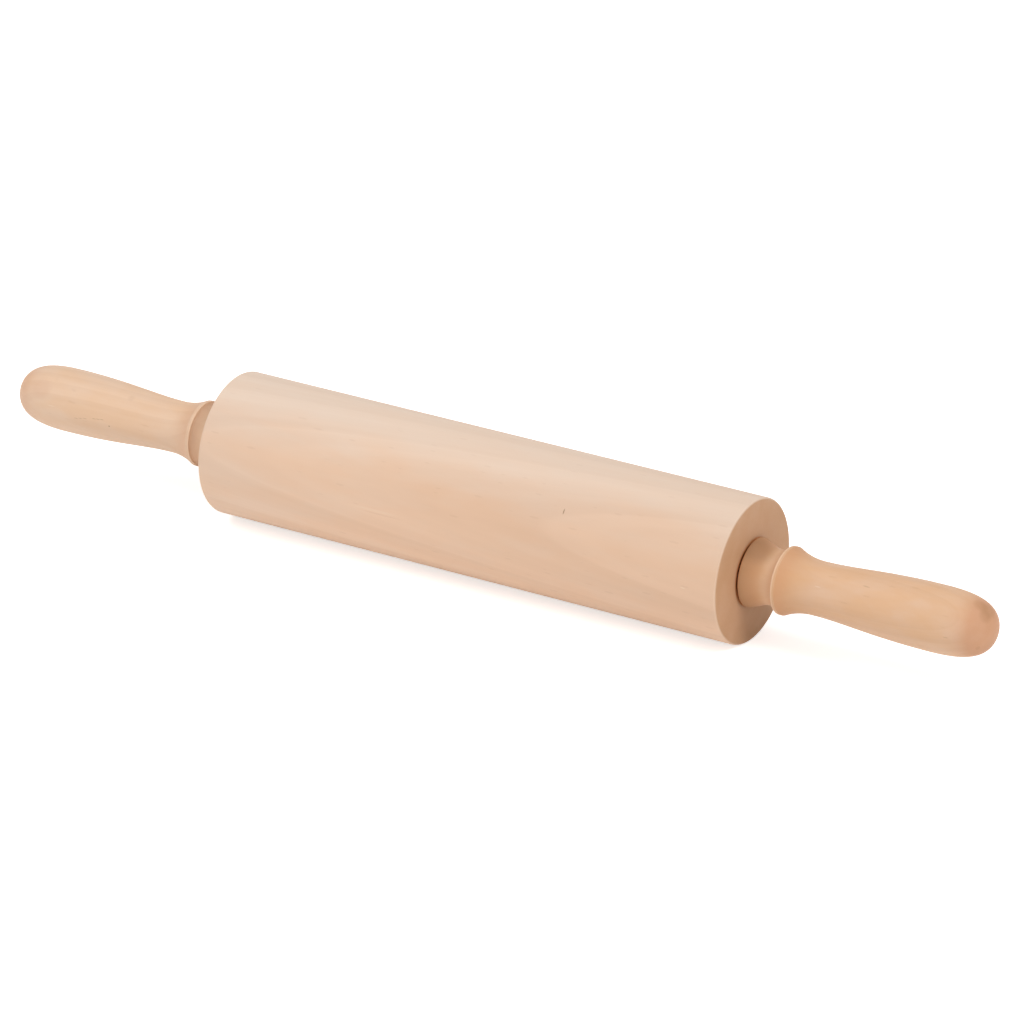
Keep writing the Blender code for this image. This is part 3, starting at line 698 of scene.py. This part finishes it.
ball_ring = build_ball_ring()
ball_steel = machined_steel("ball_steel", BALL_STEEL, BALL_SHADE, roughness=0.08, lines_per_mm=2.0)
ball_sizes = {"Ball radius": BALL_RADIUS, "Smoothness": BALL_SMOOTHNESS, "Finish": ball_steel}
for end, side in ENDS:
    balls = make_piece(end + "_steel_balls", ONE_POINT, ball_ring, round_bearing(side, ball_sizes))
    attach(balls, end + "_cage")
    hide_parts(*[end + "_ball_" + str(number) for number in range(1, BALL_COUNT + 1)])


# Cages
# The crown cages are moulded from black nylon. The balls snap into round pockets from the outer side, and
# the solid back of the ring joins the pockets up.

CAGE_INNER = 0.006585
CAGE_OUTER = 0.008385
CAGE_BACK_PLACE = -0.002585
CAGE_PRONG_PLACE = 0.0012
CAGE_POCKET_RADIUS = 0.002185
CAGE_CORNER = 0.0002
CAGE_WELD = 0.000003
POCKET_SEGMENTS = 32
POCKET_RINGS = 24

CAGE_BLACK = (0.030, 0.028, 0.026)
CAGE_GREY = (0.052, 0.049, 0.046)


def build_cage():
    """The tree for one cage: a turned ring less a ring of round pockets."""
    tree, sizes = new_tree("crown_cage", *TURNED_LABELS, *CIRCLE_LABELS, ("Pocket radius", "Float"))
    inputs = {"Segments": POCKET_SEGMENTS, "Rings": POCKET_RINGS, "Radius": sizes["Pocket radius"]}
    pocket = add_node(tree, "GeometryNodeMeshUVSphere", inputs)
    pockets = spaced_round(tree, sizes, pocket.outputs["Mesh"])
    whole = add_node(tree, "GeometryNodeRealizeInstances", {"Geometry": pockets})
    solids = {"Mesh 1": turn_outline(tree, sizes), "Mesh 2": whole.outputs["Geometry"]}
    cut = add_node(tree, "GeometryNodeMeshBoolean", solids, operation="DIFFERENCE", solver="EXACT")
    return end_tree(tree, weld(tree, cut.outputs["Mesh"], CAGE_WELD), sizes)


cage_outline = soften([
    (CAGE_BACK_PLACE, CAGE_INNER),
    (CAGE_BACK_PLACE, CAGE_OUTER),
    (CAGE_PRONG_PLACE, CAGE_OUTER),
    (CAGE_PRONG_PLACE, CAGE_INNER),
], CAGE_CORNER)
crown_cage = build_cage()
cage_nylon = moulded_nylon("cage_nylon", CAGE_BLACK, CAGE_GREY, roughness=0.48)
cage_sizes = {"Facets": BEARING_FACETS, "Pocket radius": CAGE_POCKET_RADIUS, "Finish": cage_nylon}
for end, side in ENDS:
    section = lathe_section(at_bearing(cage_outline, side))
    cage = make_piece(end + "_nylon_cage", section, crown_cage, round_bearing(side, cage_sizes))
    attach(cage, end + "_cage")
    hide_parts(end + "_cage")


# Shields
# A thin steel shield closes each side of a bearing against flour. It is pressed from sheet, and its
# turned-out rim snaps into the step of the outer ring.

SHIELD_BACK = 0.002885
SHIELD_FRONT = 0.003185
SHIELD_INNER = 0.0062
SHIELD_OUTER = 0.00977
SHIELD_RIM = 0.0004
SHIELD_CORNER = 0.0001

SHIELD_STEEL = (0.560, 0.565, 0.575)
SHIELD_SHADE = (0.420, 0.425, 0.440)

shield_outline = soften([
    (SHIELD_BACK, SHIELD_INNER),
    (SHIELD_BACK, SHIELD_OUTER),
    (BEARING_SIDE, SHIELD_OUTER),
    (BEARING_SIDE, SHIELD_OUTER - SHIELD_RIM),
    (SHIELD_FRONT, SHIELD_OUTER - SHIELD_RIM),
    (SHIELD_FRONT, SHIELD_INNER),
], SHIELD_CORNER)
shield_steel = machined_steel("pressed_steel", SHIELD_STEEL, SHIELD_SHADE, roughness=0.30, lines_per_mm=3.0)
for end, side in ENDS:
    for kind, facing in (("outboard", 1), ("inboard", -1)):
        placed = at_bearing(shield_outline, side, facing)
        shield = turn(end + "_" + kind + "_steel_shield", placed, shield_steel, BEARING_FACETS)
        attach(shield, "barrel")
        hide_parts(end + "_" + kind + "_shield")


# Axle
# One bright steel bar runs through both bearings into the handles. A groove is turned for each retaining
# clip, and straight ridges are rolled into both ends, so that the handles grip it when driven on.

AXLE_RADIUS = 0.0040
AXLE_END = 0.1845
AXLE_CHAMFER = 0.0005
CLIP_GROOVE_RADIUS = 0.0035
CLIP_GROOVE_START = 0.1199
CLIP_GROOVE_END = 0.1213
KNURL_START = 0.1445
KNURL_RUN_OUT = 0.0006
KNURL_CORE = 0.0038
RIDGE_COUNT = 52
RIDGE_SIZE = 0.00025
RIDGE_SIDES = 3
AXLE_FACETS = 96

AXLE_STEEL = (0.540, 0.540, 0.555)
AXLE_SHADE = (0.400, 0.402, 0.415)


def build_axle():
    """The tree for the axle: a turned bar and two rows of ridges."""
    ridge_labels = [("Ridge " + label, "Float") for label in ("circle", "size", "length", "place")]
    tree, sizes = new_tree("knurled_axle", *TURNED_LABELS, ("Ridge count", "Int"), *ridge_labels)
    inputs = {"Vertices": RIDGE_SIDES, "Radius": sizes["Ridge size"], "Depth": sizes["Ridge length"]}
    ridge = add_node(tree, "GeometryNodeMeshCylinder", inputs)
    joined = add_node(tree, "GeometryNodeJoinGeometry", {"Geometry": turn_outline(tree, sizes)})
    for side in (1.0, -1.0):
        row = {
            "Count": sizes["Ridge count"],
            "Circle radius": sizes["Ridge circle"],
            "Place": times(tree, sizes["Ridge place"], side),
            "Side": side,
            "Axis height": sizes["Axis height"],
        }
        tree.links.new(spaced_round(tree, row, ridge.outputs["Mesh"]), joined.inputs["Geometry"])
    return end_tree(tree, joined.outputs["Geometry"], sizes)


axle_half = [
    (CLIP_GROOVE_START, AXLE_RADIUS),
    (CLIP_GROOVE_START, CLIP_GROOVE_RADIUS),
    (CLIP_GROOVE_END, CLIP_GROOVE_RADIUS),
    (CLIP_GROOVE_END, AXLE_RADIUS),
    (KNURL_START - KNURL_RUN_OUT, AXLE_RADIUS),
    (KNURL_START, KNURL_CORE),
    (AXLE_END - AXLE_CHAMFER, KNURL_CORE),
    (AXLE_END, KNURL_CORE - AXLE_CHAMFER),
    (AXLE_END, 0.0),
]
axle_steel = machined_steel("axle_steel", AXLE_STEEL, AXLE_SHADE, roughness=0.26, lines_per_mm=5.0)
ridge_end = AXLE_END - AXLE_CHAMFER
axle_sizes = {
    "Facets": AXLE_FACETS, "Ridge count": RIDGE_COUNT, "Ridge circle": AXLE_RADIUS - RIDGE_SIZE,
    "Ridge size": RIDGE_SIZE, "Ridge length": ridge_end - KNURL_START,
    "Ridge place": (ridge_end + KNURL_START) / 2, "Finish": axle_steel,
}
axle_section = lathe_section(both_halves(axle_half), closed=False)
axle = make_piece("steel_axle", axle_section, build_axle(), axle_sizes)
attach(axle, "handles_and_axle")
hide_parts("axle")


# Retaining clips
# A flat spring-steel clip sits in each of the axle's grooves, outside the bearing, and stops the axle from
# sliding. It is stamped, blackened, and has two lugs with holes for the pliers that open it.

CLIP_PLACE = 0.1202
CLIP_THICKNESS = 0.0008
CLIP_INNER = 0.0038
CLIP_OUTER = 0.0052
LUG_TOP = 0.0069
LUG_WIDTH = 0.0020
CLIP_OPENING = 0.0016
LUG_HOLE_RADIUS = 0.00045
LUG_HOLE_HEIGHT = 0.00605
CLIP_STEPS = 72
LUG_HOLE_STEPS = 20
LUG_CORNER = 0.0005
LUG_CORNER_STEPS = 5
CLIP_WELD = 0.000005

CLIP_BLACK = (0.090, 0.092, 0.100)
CLIP_WORN = (0.230, 0.235, 0.250)


def clip_outline():
    """The clip seen along the axis as (Y, Z) points: an open ring with a lug at each end, gap upwards."""
    half_gap = CLIP_OPENING / 2
    lug_side = half_gap + LUG_WIDTH
    gap_angle = math.degrees(math.asin(half_gap / CLIP_INNER))
    lug_angle = math.degrees(math.asin(lug_side / CLIP_OUTER))
    lug_box = [(half_gap, LUG_TOP), (lug_side, LUG_TOP), (lug_side, CLIP_OUTER), (half_gap, CLIP_OUTER)]
    right_lug = soften(lug_box, LUG_CORNER, LUG_CORNER_STEPS)[:2 * (LUG_CORNER_STEPS + 1)]
    left_lug = [(-across, height) for across, height in reversed(right_lug)]
    ring = arc((0.0, 0.0), CLIP_OUTER, 90.0 - lug_angle, lug_angle - 270.0, CLIP_STEPS)
    inside = arc((0.0, 0.0), CLIP_INNER, gap_angle - 270.0, 90.0 - gap_angle, CLIP_STEPS)
    return right_lug + ring + left_lug + inside


def clip_loops():
    """The clip's outline and its two holes, as points and the edges that join each loop."""
    hole_side = (CLIP_OPENING + LUG_WIDTH) / 2
    loops = [clip_outline()]
    for side in (1, -1):
        middle = (side * hole_side, LUG_HOLE_HEIGHT)
        loops.append(arc(middle, LUG_HOLE_RADIUS, 0.0, 360.0, LUG_HOLE_STEPS)[:-1])
    points, edges = [], []
    for loop in loops:
        start = len(points)
        edges += [(first + start, second + start) for first, second in outline_edges(loop, closed=True)]
        points += [(across, height, 0.0) for across, height in loop]
    return points, edges


def build_clip():
    """The tree for a clip: its loops filled, thickened and stood up."""
    labels = (("Outline", "Geometry"), ("Thickness", "Float"), ("Place", "Float"), ("Side", "Float"))
    tree, sizes = new_tree("retaining_clip", *labels)
    loops = add_node(tree, "GeometryNodeMeshToCurve", {"Mesh": sizes["Outline"]})
    flat = add_node(tree, "GeometryNodeFillCurve", {"Curve": loops.outputs["Curve"]}).outputs["Mesh"]
    back = add_node(tree, "GeometryNodeFlipFaces", {"Mesh": flat})
    upwards = {"Offset": (0.0, 0.0, 1.0), "Offset Scale": sizes["Thickness"]}
    raised = add_node(tree, "GeometryNodeExtrudeMesh", {"Mesh": flat, **upwards, "Individual": False})
    joined = add_node(tree, "GeometryNodeJoinGeometry", {"Geometry": raised.outputs["Mesh"]})
    tree.links.new(back.outputs["Mesh"], joined.inputs["Geometry"])
    welded = weld(tree, joined.outputs["Geometry"], CLIP_WELD)
    return end_tree(tree, stand_up(tree, welded, sizes), sizes)


retaining_clip = build_clip()
clip_steel = machined_steel("spring_steel", CLIP_BLACK, CLIP_WORN, roughness=0.36, lines_per_mm=4.0)
for end, side in ENDS:
    place = {"Place": side * CLIP_PLACE, "Side": float(side)}
    sizes = {"Thickness": CLIP_THICKNESS, "Finish": clip_steel, **place}
    clip = make_piece(end + "_steel_clip", clip_loops(), retaining_clip, sizes)
    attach(clip, "handles_and_axle")
    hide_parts(end + "_clip")


# Thrust washers
# A washer turned from slippery white nylon sits on the axle between each bearing and its handle. It
# keeps the handle about a millimetre off the barrel's end.

WASHER_PLACE = 0.1213
WASHER_THICKNESS = 0.0019
WASHER_BORE = 0.0043
WASHER_RADIUS = 0.0062
WASHER_CORNER = 0.00025

WASHER_WHITE = (0.720, 0.700, 0.640)
WASHER_CREAM = (0.640, 0.600, 0.510)

washer_outline = soften([
    (WASHER_PLACE, WASHER_BORE),
    (WASHER_PLACE, WASHER_RADIUS),
    (WASHER_PLACE + WASHER_THICKNESS, WASHER_RADIUS),
    (WASHER_PLACE + WASHER_THICKNESS, WASHER_BORE),
], WASHER_CORNER)
washer_nylon = moulded_nylon("washer_nylon", WASHER_WHITE, WASHER_CREAM, roughness=0.38)
for end, side in ENDS:
    placed = [(side * along, radius) for along, radius in washer_outline]
    washer = turn(end + "_nylon_washer", placed, washer_nylon, BEARING_FACETS)
    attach(washer, "handles_and_axle")
    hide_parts(end + "_washer")


# Handles
# Both handles are turned from warmer, lightly oiled beech to one pattern: a flared foot, a hollow neck,
# a raised collar, a waist, a swelling grip and a domed end. Each is driven onto a knurled end of the axle.

FOOT_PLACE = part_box("right_handle")[0].x
FOOT_RADIUS = 0.0142
FOOT_THICKNESS = 0.0006
FOOT_EDGE = 0.0002
COVE_LENGTH = 0.0090
COVE_START_PULL = 0.33
COVE_DROP = 0.066
COVE_END_PULL = 0.39
NECK_RADIUS = 0.0114
RISE_LENGTH = 0.0048
RISE_START_PULL = 0.50
RISE_END_PULL = 0.35
COLLAR_RADIUS = 0.0140
COLLAR_LENGTH = 0.0020
COLLAR_EDGE = 0.0004
THROAT_ANGLE = 62.1
THROAT_LENGTH = 0.0126
THROAT_START_PULL = 0.27
THROAT_DROP = 0.143
THROAT_END_PULL = 0.39
WAIST_RADIUS = 0.01095
GRIP_LENGTH = 0.0530
GRIP_START_PULL = 0.28
GRIP_END_PULL = 0.49
GRIP_RADIUS = 0.01345
DOME_LENGTH = 0.0250
DOME_START_PULL = 0.61
DOME_END_PULL = 0.82
SOCKET_RADIUS = 0.0043
SOCKET_DEPTH = 0.0620
SOCKET_CHAMFER = 0.0005
SOCKET_POINT = 0.0026
HANDLE_FACETS = 144

RIGHT_COLOURS = ((0.740, 0.494, 0.337), (0.730, 0.445, 0.259))
LEFT_COLOURS = ((0.785, 0.565, 0.412), (0.777, 0.519, 0.339))
# Partly oiled wood, partly painted shade with warm bounce light on the neck.
HANDLE_OIL_AND_BOUNCE = (0.640, 0.345, 0.160)
# Painted shade on the foot beside the barrel's end.
HANDLE_FOOT_SHADE = (0.420, 0.220, 0.105)
HANDLE_END_GRAIN = (0.600, 0.296, 0.163)
# Painted light on the rise to the collar and a painted highlight on its rim.
HANDLE_PAINTED_LIGHT = (0.860, 0.610, 0.420)
KNOT_BROWN = (0.400, 0.205, 0.092)

# Where the handle's tones, painted shade and painted light begin and end, in millimetres from its foot, its
# collar or the axis.
FOOT_PAINTED_SHADE = (0.5, 10.5)
FOOT_FACE_GAP_SHADE = (0.15, 0.40)
COLLAR_PAINTED_LIGHT_START = (-7.0, -2.5)
COLLAR_PAINTED_LIGHT_END = (1.2, 0.3)
COLLAR_RIM_HIGHLIGHT = (12.9, 13.5)

# How strong the oil tint shows, partly painted shade with warm bounce light on the neck, how far from the
# foot it is strongest, and where it ends.
RIGHT_NECK_TINT = (0.40, 24.0, 36.0)
LEFT_NECK_TINT = (0.20, 10.0, 15.0)


def sweep(outline, leave, reach, end, steps):
    """Carry an outline on to end. Leave and reach pull the curve, and are seen from its two ends."""
    start = outline[-1]
    corners = (start, (start[0] + leave[0], start[1] + leave[1]), (end[0] + reach[0], end[1] + reach[1]), end)
    for step in range(1, steps + 1):
        t = step / steps
        weights = ((1 - t) ** 3, 3 * t * (1 - t) ** 2, 3 * t * t * (1 - t), t ** 3)
        along = sum(weight * corner[0] for weight, corner in zip(weights, corners))
        radius = sum(weight * corner[1] for weight, corner in zip(weights, corners))
        outline.append((along, radius))


def handle_outline():
    """The handle's outline, from the drill point in its socket out to its tip, with its foot at 0."""
    outline = [
        (SOCKET_DEPTH + SOCKET_POINT, 0.0),
        (SOCKET_DEPTH, SOCKET_RADIUS),
        (SOCKET_CHAMFER, SOCKET_RADIUS),
        (0.0, SOCKET_RADIUS + SOCKET_CHAMFER),
    ]
    outline += arc((FOOT_EDGE, FOOT_RADIUS - FOOT_EDGE), FOOT_EDGE, 180.0, 90.0, 4)
    outline.append((FOOT_THICKNESS, FOOT_RADIUS))
    neck = FOOT_THICKNESS + COVE_LENGTH
    leave = (COVE_START_PULL * COVE_LENGTH, -COVE_DROP * COVE_LENGTH)
    sweep(outline, leave, (-COVE_END_PULL * COVE_LENGTH, 0.0), (neck, NECK_RADIUS), steps=20)
    collar = neck + RISE_LENGTH
    rim = COLLAR_RADIUS - COLLAR_EDGE
    reach = (0.0, -RISE_END_PULL * (rim - NECK_RADIUS))
    sweep(outline, (RISE_START_PULL * RISE_LENGTH, 0.0), reach, (collar, rim), steps=16)
    collar_end = collar + COLLAR_LENGTH
    outline += arc((collar + COLLAR_EDGE, rim), COLLAR_EDGE, 180.0, 90.0, 6)[1:]
    outline += arc((collar_end - COLLAR_EDGE, rim), COLLAR_EDGE, 90.0, THROAT_ANGLE, 4)
    waist = collar_end + THROAT_LENGTH
    length = waist - outline[-1][0]
    leave = (THROAT_START_PULL * length, -THROAT_DROP * length)
    sweep(outline, leave, (-THROAT_END_PULL * length, 0.0), (waist, WAIST_RADIUS), steps=24)
    grip = waist + GRIP_LENGTH
    leave, reach = (GRIP_START_PULL * GRIP_LENGTH, 0.0), (-GRIP_END_PULL * GRIP_LENGTH, 0.0)
    sweep(outline, leave, reach, (grip, GRIP_RADIUS), steps=30)
    leave, reach = (DOME_START_PULL * DOME_LENGTH, 0.0), (0.0, DOME_END_PULL * GRIP_RADIUS)
    sweep(outline, leave, reach, (grip + DOME_LENGTH, 0.0), steps=40)
    return outline


def handle_tone(tree, place):
    """An even share of warm wood, a little deeper in slow clouds."""
    clouds = noise(tree, place, stretch=(0.05, 0.12, 0.12))
    return patches(tree, clouds, 0.05, 0.85)


def oil_the_neck(wood, strength, full, none):
    """A warmer tone on the neck, partly oil and partly painted shade with warm bounce light, painted shade on
    the foot and in its gap against the barrel, painted light on the rise to the collar and a painted
    highlight on the collar's rim.

    Full and none say how far from the foot the oil is strongest and where it ends, in millimetres.
    """
    tree = wood["tree"]
    parts = split(tree, wood["place"])
    along = maths(tree, "SUBTRACT", maths(tree, "ABSOLUTE", parts["X"]), FOOT_PLACE * MM)
    # The warm tint is partly oil and partly painted shade with warm bounce light on the neck.
    tint(wood, fade(tree, along, full, none, 1.0, 0.0), HANDLE_OIL_AND_BOUNCE, strength)
    # Painted shade over the foot and the start of the neck beside the barrel's end, and on the foot's face in
    # the gap.
    tint(wood, fade(tree, along, *FOOT_PAINTED_SHADE, 1.0, 0.0), HANDLE_FOOT_SHADE, strength=0.75)
    tint(wood, fade(tree, along, *FOOT_FACE_GAP_SHADE, 1.0, 0.0), GAP_SHADE_BROWN, strength=0.70)
    # The rise to the collar is painted paler for the light from the left, and the collar's rim carries a
    # painted highlight.
    collar = (FOOT_THICKNESS + COVE_LENGTH + RISE_LENGTH) * MM
    from_collar = maths(tree, "SUBTRACT", along, collar)
    pale = fade(tree, from_collar, *COLLAR_PAINTED_LIGHT_START)
    pale = times(tree, pale, fade(tree, from_collar, *COLLAR_PAINTED_LIGHT_END))
    tint(wood, pale, HANDLE_PAINTED_LIGHT, strength=0.42)
    rim = times(tree, pale, fade(tree, off_axis(tree, parts), *COLLAR_RIM_HIGHLIGHT))
    tint(wood, rim, HANDLE_PAINTED_LIGHT, strength=0.45)


def handle_beech(name, colours, cut_share, oil, **log):
    """A handle's wood. Cut share says how dark the cut fibres show, and log where in the log it was cut."""
    wood = start_beech(name, colours, ring_width=4.6, figure=0.085, base_tone=handle_tone, **log)
    end_grain(wood, HANDLE_END_GRAIN, first_tilt=0.06, full_tilt=0.45, strength=cut_share)
    oil_the_neck(wood, *oil)
    return wood


def dashes(first, step, size):
    """Three short marks in a row: the first one's middle, the step to the next and half a mark's size."""
    return [(Vector(first) + number * Vector(step), size) for number in range(3)]


right_wood = handle_beech(
    "right_handle_beech", RIGHT_COLOURS, cut_share=0.80, oil=RIGHT_NECK_TINT,
    pith=(0.0, 38.0, -30.0), lean=(0.0, 0.05, 0.09), ring_shift=0.3,
)
mark_wood(
    right_wood, KNOT_BROWN, 0.30,
    ((227.1, 0.3, 8.7), (4.8, 5.2, 4.6)),
    ((224.4, -0.9, 10.4), (4.4, 3.8, 3.8)),
    ((227.4, -3.3, 7.6), (3.6, 3.6, 3.6)),
)
# A painted shadow of the barrel across the top of the neck, next to the foot.
mark_wood(right_wood, NICK_AND_SHADE_BROWN, 0.32, ((126.5, -4.0, 12.2), (10.0, 9.5, 7.5)))
mark_wood(right_wood, KNOT_BROWN, 0.25, ((227.0, -7.6, -4.4), (1.5, 1.2, 1.4)))
mark_wood(
    right_wood, NICK_AND_SHADE_BROWN, 0.25,
    ((177.5, -7.6, 9.8), (2.3, 1.0, 0.25)),
    ((215.5, -12.9, -0.6), (1.6, 1.0, 0.25)),
    dent=0.6,
)
mark_wood(right_wood, SANDED_PALE_AND_HIGHLIGHT, 0.28, ((156.9, -9.5, 5.5), (1.8, 1.0, 0.30)))

left_wood = handle_beech(
    "left_handle_beech", LEFT_COLOURS, cut_share=0.36, oil=LEFT_NECK_TINT,
    pith=(0.0, 44.0, 20.0), lean=(0.0, -0.04, -0.07), ring_shift=0.0,
)
far_dashes = dashes(first=(-195.2, -13.3, -0.9), step=(2.2, 0.1, 0.4), size=(1.4, 1.0, 0.20))
near_dashes = dashes(first=(-186.2, -12.9, 0.7), step=(1.9, 0.1, 0.2), size=(1.3, 1.0, 0.20))
mark_wood(left_wood, NICK_AND_SHADE_BROWN, 0.30, *far_dashes, dent=1.0)
mark_wood(left_wood, NICK_AND_SHADE_BROWN, 0.35, *near_dashes, dent=1.0)
mark_wood(left_wood, NICK_AND_SHADE_BROWN, 0.60, ((-178.9, -12.4, -1.2), (0.50, 0.9, 0.42)), dent=2.0)
mark_wood(left_wood, NICK_AND_SHADE_BROWN, 0.40, ((-200.8, 3.6, 12.9), (0.60, 0.8, 0.6)), dent=1.0)
mark_wood(left_wood, SANDED_PALE_AND_HIGHLIGHT, 0.40, ((-207.9, -13.3, 1.9), (2.6, 1.0, 0.30)))
mark_wood(left_wood, HANDLE_END_GRAIN, 0.20, ((-214.5, -10.5, 7.5), (7.0, 6.0, 6.0)))

for (end, side), wood in zip(ENDS, (right_wood, left_wood)):
    placed = [(side * (FOOT_PLACE + along), radius) for along, radius in handle_outline()]
    beech = finish_beech(wood, roughness=0.52)
    handle = turn(end + "_beech_handle", placed, beech, HANDLE_FACETS, closed=False)
    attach(handle, "handles_and_axle")
    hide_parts(end + "_handle")


# Floor and backdrop
# The pin lies on a white studio table that runs out of view on all sides. The table keeps the pin's
# soft shadow.

FLOOR_WIDTH = 12.0
FLOOR_WHITE = 0.95
FLOOR_GLOW = 0.60
WHITE = (1.0, 1.0, 1.0, 1.0)


def seen_directly(tree):
    """1 for what the camera sees itself, in a mirror or through glass."""
    path = add_node(tree, "ShaderNodeLightPath")
    seen = maths(tree, "MAXIMUM", path.outputs["Is Camera Ray"], path.outputs["Is Glossy Ray"])
    return maths(tree, "MAXIMUM", seen, path.outputs["Is Transmission Ray"])


# The camera sees the table near paper white, with its shadows softened.
studio_white, tree, shader = new_material("studio_white", roughness=0.9)
shader.inputs["Base Color"].default_value = (FLOOR_WHITE, FLOOR_WHITE, FLOOR_WHITE, 1.0)
shader.inputs["Specular IOR Level"].default_value = 0.0
strength = times(tree, seen_directly(tree), FLOOR_GLOW)
glow = add_node(tree, "ShaderNodeEmission", {"Color": WHITE, "Strength": strength})
both = add_node(tree, "ShaderNodeAddShader", {0: shader.outputs["BSDF"], 1: glow.outputs["Emission"]})
tree.links.new(both.outputs[0], tree.nodes["Material Output"].inputs["Surface"])

half = FLOOR_WIDTH / 2
floor_corners = [(-half, -half, 0.0), (half, -half, 0.0), (half, half, 0.0), (-half, half, 0.0)]
floor_mesh = bpy.data.meshes.new("floor")
floor_mesh.from_pydata(floor_corners, [], [(0, 1, 2, 3)])
floor_mesh.materials.append(studio_white)
floor = bpy.data.objects.new("floor", floor_mesh)
bpy.context.scene.collection.objects.link(floor)


# Light
# A white room lights the pin from all round. Two broad soft lamps hang high on the left and on the
# right, and a faint one stands low in front.

ROOM_STRENGTH = 0.51


def hang_lamp(name, place, size, power):
    """One round soft lamp, turned towards the pin."""
    data = bpy.data.lights.new(name, "AREA")
    data.shape = "DISK"
    data.size = size
    data.energy = power
    lamp = bpy.data.objects.new(name, data)
    lamp.location = place
    lamp.rotation_euler = (-Vector(place)).to_track_quat("-Z", "Y").to_euler()
    bpy.context.scene.collection.objects.link(lamp)


# The walls are dimmer on the pin than they look to the camera.
world = bpy.data.worlds.new("white_room")
world.use_nodes = True
tree = world.node_tree
backdrop = tree.nodes["Background"]
backdrop.inputs["Color"].default_value = WHITE
strength = fade(tree, seen_directly(tree), 0.0, 1.0, ROOM_STRENGTH, 1.0)
tree.links.new(strength, backdrop.inputs["Strength"])
bpy.context.scene.world = world
hang_lamp("left_lamp", place=(-2.32, -1.24, 3.02), size=2.0, power=43.0)
hang_lamp("right_lamp", place=(2.59, -0.60, 2.98), size=1.6, power=58.0)
hang_lamp("front_lamp", place=(-0.20, -3.88, 0.80), size=2.3, power=17.0)


# Camera
# A long lens looks down on the pin from the front and right, as in the photograph. It stands level and
# aims a little beside the middle of the barrel.

CAMERA_AZIMUTH = math.radians(31.69)
CAMERA_HEIGHT_ANGLE = math.radians(24.11)
CAMERA_DISTANCE = 2.5462
CAMERA_AIM = Vector((0.0083, 0.0038, AXIS_HEIGHT - 0.0025))
CAMERA_LENS = 221.36
CAMERA_SENSOR = 36.0
CAMERA_NEAR = 0.1
CAMERA_FAR = 50.0

back = Vector((
    math.sin(CAMERA_AZIMUTH) * math.cos(CAMERA_HEIGHT_ANGLE),
    -math.cos(CAMERA_AZIMUTH) * math.cos(CAMERA_HEIGHT_ANGLE),
    math.sin(CAMERA_HEIGHT_ANGLE),
))
lens = bpy.data.cameras.new("camera")
lens.lens = CAMERA_LENS
lens.sensor_width = CAMERA_SENSOR
lens.clip_start = CAMERA_NEAR
lens.clip_end = CAMERA_FAR
camera = bpy.data.objects.new("camera", lens)
camera.location = CAMERA_AIM + back * CAMERA_DISTANCE
camera.rotation_euler = (-back).to_track_quat("-Z", "Y").to_euler()
bpy.context.scene.collection.objects.link(camera)
bpy.context.scene.camera = camera
bpy.context.scene.view_settings.view_transform = "Standard"
